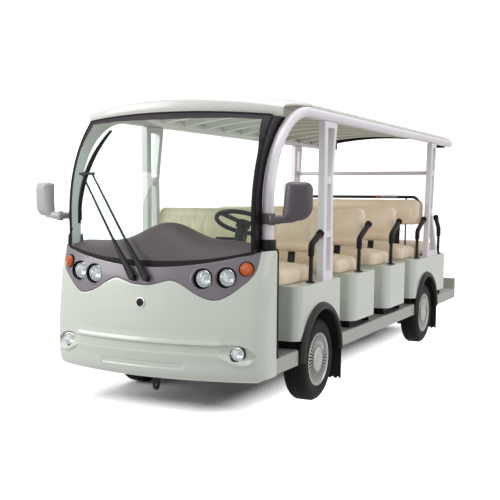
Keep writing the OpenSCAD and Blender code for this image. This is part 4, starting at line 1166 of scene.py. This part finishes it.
piece("edge_rubbers", *join(edging(1), edging(-1)), "rubber", smooth=60)


def collar(s):
    """Foot of the pillar on the front moulding."""
    return lathe([(34.3, 0), (50, 0), (51, 3), (49, 50), (46, 62), (34.3, 64)],
                 (PILLAR_X, s * PILLAR_Y, CAB_TOP + 1), UP, 48)


piece("pillar_collars", *join(collar(1), collar(-1)), "black_plastic")


# Sleeve and reflector band on the rear rail

RAIL_X, RAIL_Z = -2806, 1360
# grey sleeve: dull foam over the black rail
material("grey_sleeve", "grey_sleeve", "#8d8a8c", 0.5)
sleeve = tube([(RAIL_X, y, RAIL_Z) for y in span(250, 420, 6)], 15.5, 20)
piece("rail_sleeve", *sleeve, "grey_sleeve", slot="black_plastic")
# orange band: bright retroreflective tape
material("orange_tape", "orange_tape", "#e2542a", 0.35)
tape = tube([(RAIL_X, y, RAIL_Z) for y in (204, 236)], 15.8, 20)
piece("rail_band", *tape, "orange_tape", slot="amber_lens")


# Stage: floor, light, camera

def stage_light(name, place, aim, size, power):
    """A rectangular white area light that looks at a point."""
    data = bpy.data.lights.new(name, "AREA")
    data.shape = "RECTANGLE"
    data.size, data.size_y = size
    data.energy = power
    o = bpy.data.objects.new(name, data)
    scene.collection.objects.link(o)
    o.location = place
    o.rotation_euler = (Vector(aim) - Vector(place)).to_track_quat("-Z", "Y").to_euler()


floor_mesh = bpy.data.meshes.new("floor")
FLOOR = 40
floor_mesh.from_pydata([(u * FLOOR, v * FLOOR, 0) for u, v in ((-1, -1), (1, -1), (1, 1), (-1, 1))], [], [(0, 1, 2, 3)])
floor = bpy.data.objects.new("floor", floor_mesh)
scene.collection.objects.link(floor)
# studio floor: white sweep that keeps the shadow near the bus and fades into the white background
m, t, shader = surface("studio_floor", "#fdfdfd", 0.7)
# shift of the full shadow's box, its half size, and the width of the fade round it, in metres
SHADOW_SHIFT, SHADOW_HALF, SHADOW_FADE = (0.05, 0.25, 0), (1.85, 0.37, 0), 0.55
place = add(t, "TexCoord")
aside = add(t, "VectorMath", {0: place.outputs["Object"]}, operation="ADD")
aside.inputs[1].default_value = SHADOW_SHIFT
folded = add(t, "VectorMath", {0: aside.outputs[0]}, operation="ABSOLUTE")
inside = add(t, "VectorMath", {0: folded.outputs[0]}, operation="SUBTRACT")
inside.inputs[1].default_value = SHADOW_HALF
outside = add(t, "VectorMath", {0: inside.outputs[0]}, operation="MAXIMUM")
outside.inputs[1].default_value = (0, 0, 0)
away = add(t, "VectorMath", {0: outside.outputs[0]}, operation="LENGTH")
fade = add(t, "MapRange", {"Value": away.outputs["Value"]}, interpolation_type="SMOOTHSTEP", From_Max=SHADOW_FADE)
clear = add(t, "BsdfTransparent")
mix = add(t, "MixShader", {0: fade.outputs[0], 1: shader.outputs[0], 2: clear.outputs[0]})
t.links.new(mix.outputs[0], t.nodes["Material Output"].inputs["Surface"])
floor_mesh.materials.append(m)

stage_light("overhead", (0.6, -0.6, 6.5), (0.2, 0, 0), (8, 6), 365)
stage_light("front_key", (6.0, -5.0, 3.4), (1.4, 0, 0.9), (4.5, 3), 265)
stage_light("side_fill", (0.5, 7.0, 3.0), (0, 0, 0.8), (7, 3), 105)

# world: white to the camera, softer in reflections and through glass, softest as light
world = bpy.data.worlds.new("studio")
scene.world = world
world.use_nodes = True
t = world.node_tree
path = add(t, "LightPath")
soft = add(t, "Math", {0: path.outputs["Is Glossy Ray"], 1: path.outputs["Is Transmission Ray"]}, operation="MAXIMUM")
shine = add(t, "MapRange", {"Value": soft.outputs[0]}, To_Min=0.55, To_Max=0.85)
level = add(t, "MapRange", {"Value": path.outputs["Is Camera Ray"], "To Min": shine.outputs[0]}, To_Max=1.6)
backdrop = t.nodes["Background"]
backdrop.inputs["Color"].default_value = (1, 1, 1, 1)
t.links.new(level.outputs[0], backdrop.inputs["Strength"])

# camera: as fitted to the photograph's wheels, lamps and panel edges
camera = bpy.data.objects.new("camera", bpy.data.cameras.new("camera"))
scene.collection.objects.link(camera)
scene.camera = camera
yaw, pitch, roll = (math.radians(a) for a in (-153.728, -6.597, 0.325))
ahead = Vector((math.cos(yaw) * math.cos(pitch), math.sin(yaw) * math.cos(pitch), math.sin(pitch)))
turn = ahead.to_track_quat("-Z", "Y") @ Matrix.Rotation(roll, 3, "Z").to_quaternion()
camera.matrix_world = Matrix.Translation((AXLE_X + 5.4824, 2.8754, 1.3789)) @ turn.to_matrix().to_4x4()
camera.data.lens = 63.75
camera.data.sensor_width = 36
camera.data.shift_x = 0.0119
camera.data.shift_y = 0.093
scene.view_settings.view_transform = "Standard"

bpy.context.view_layer.update()
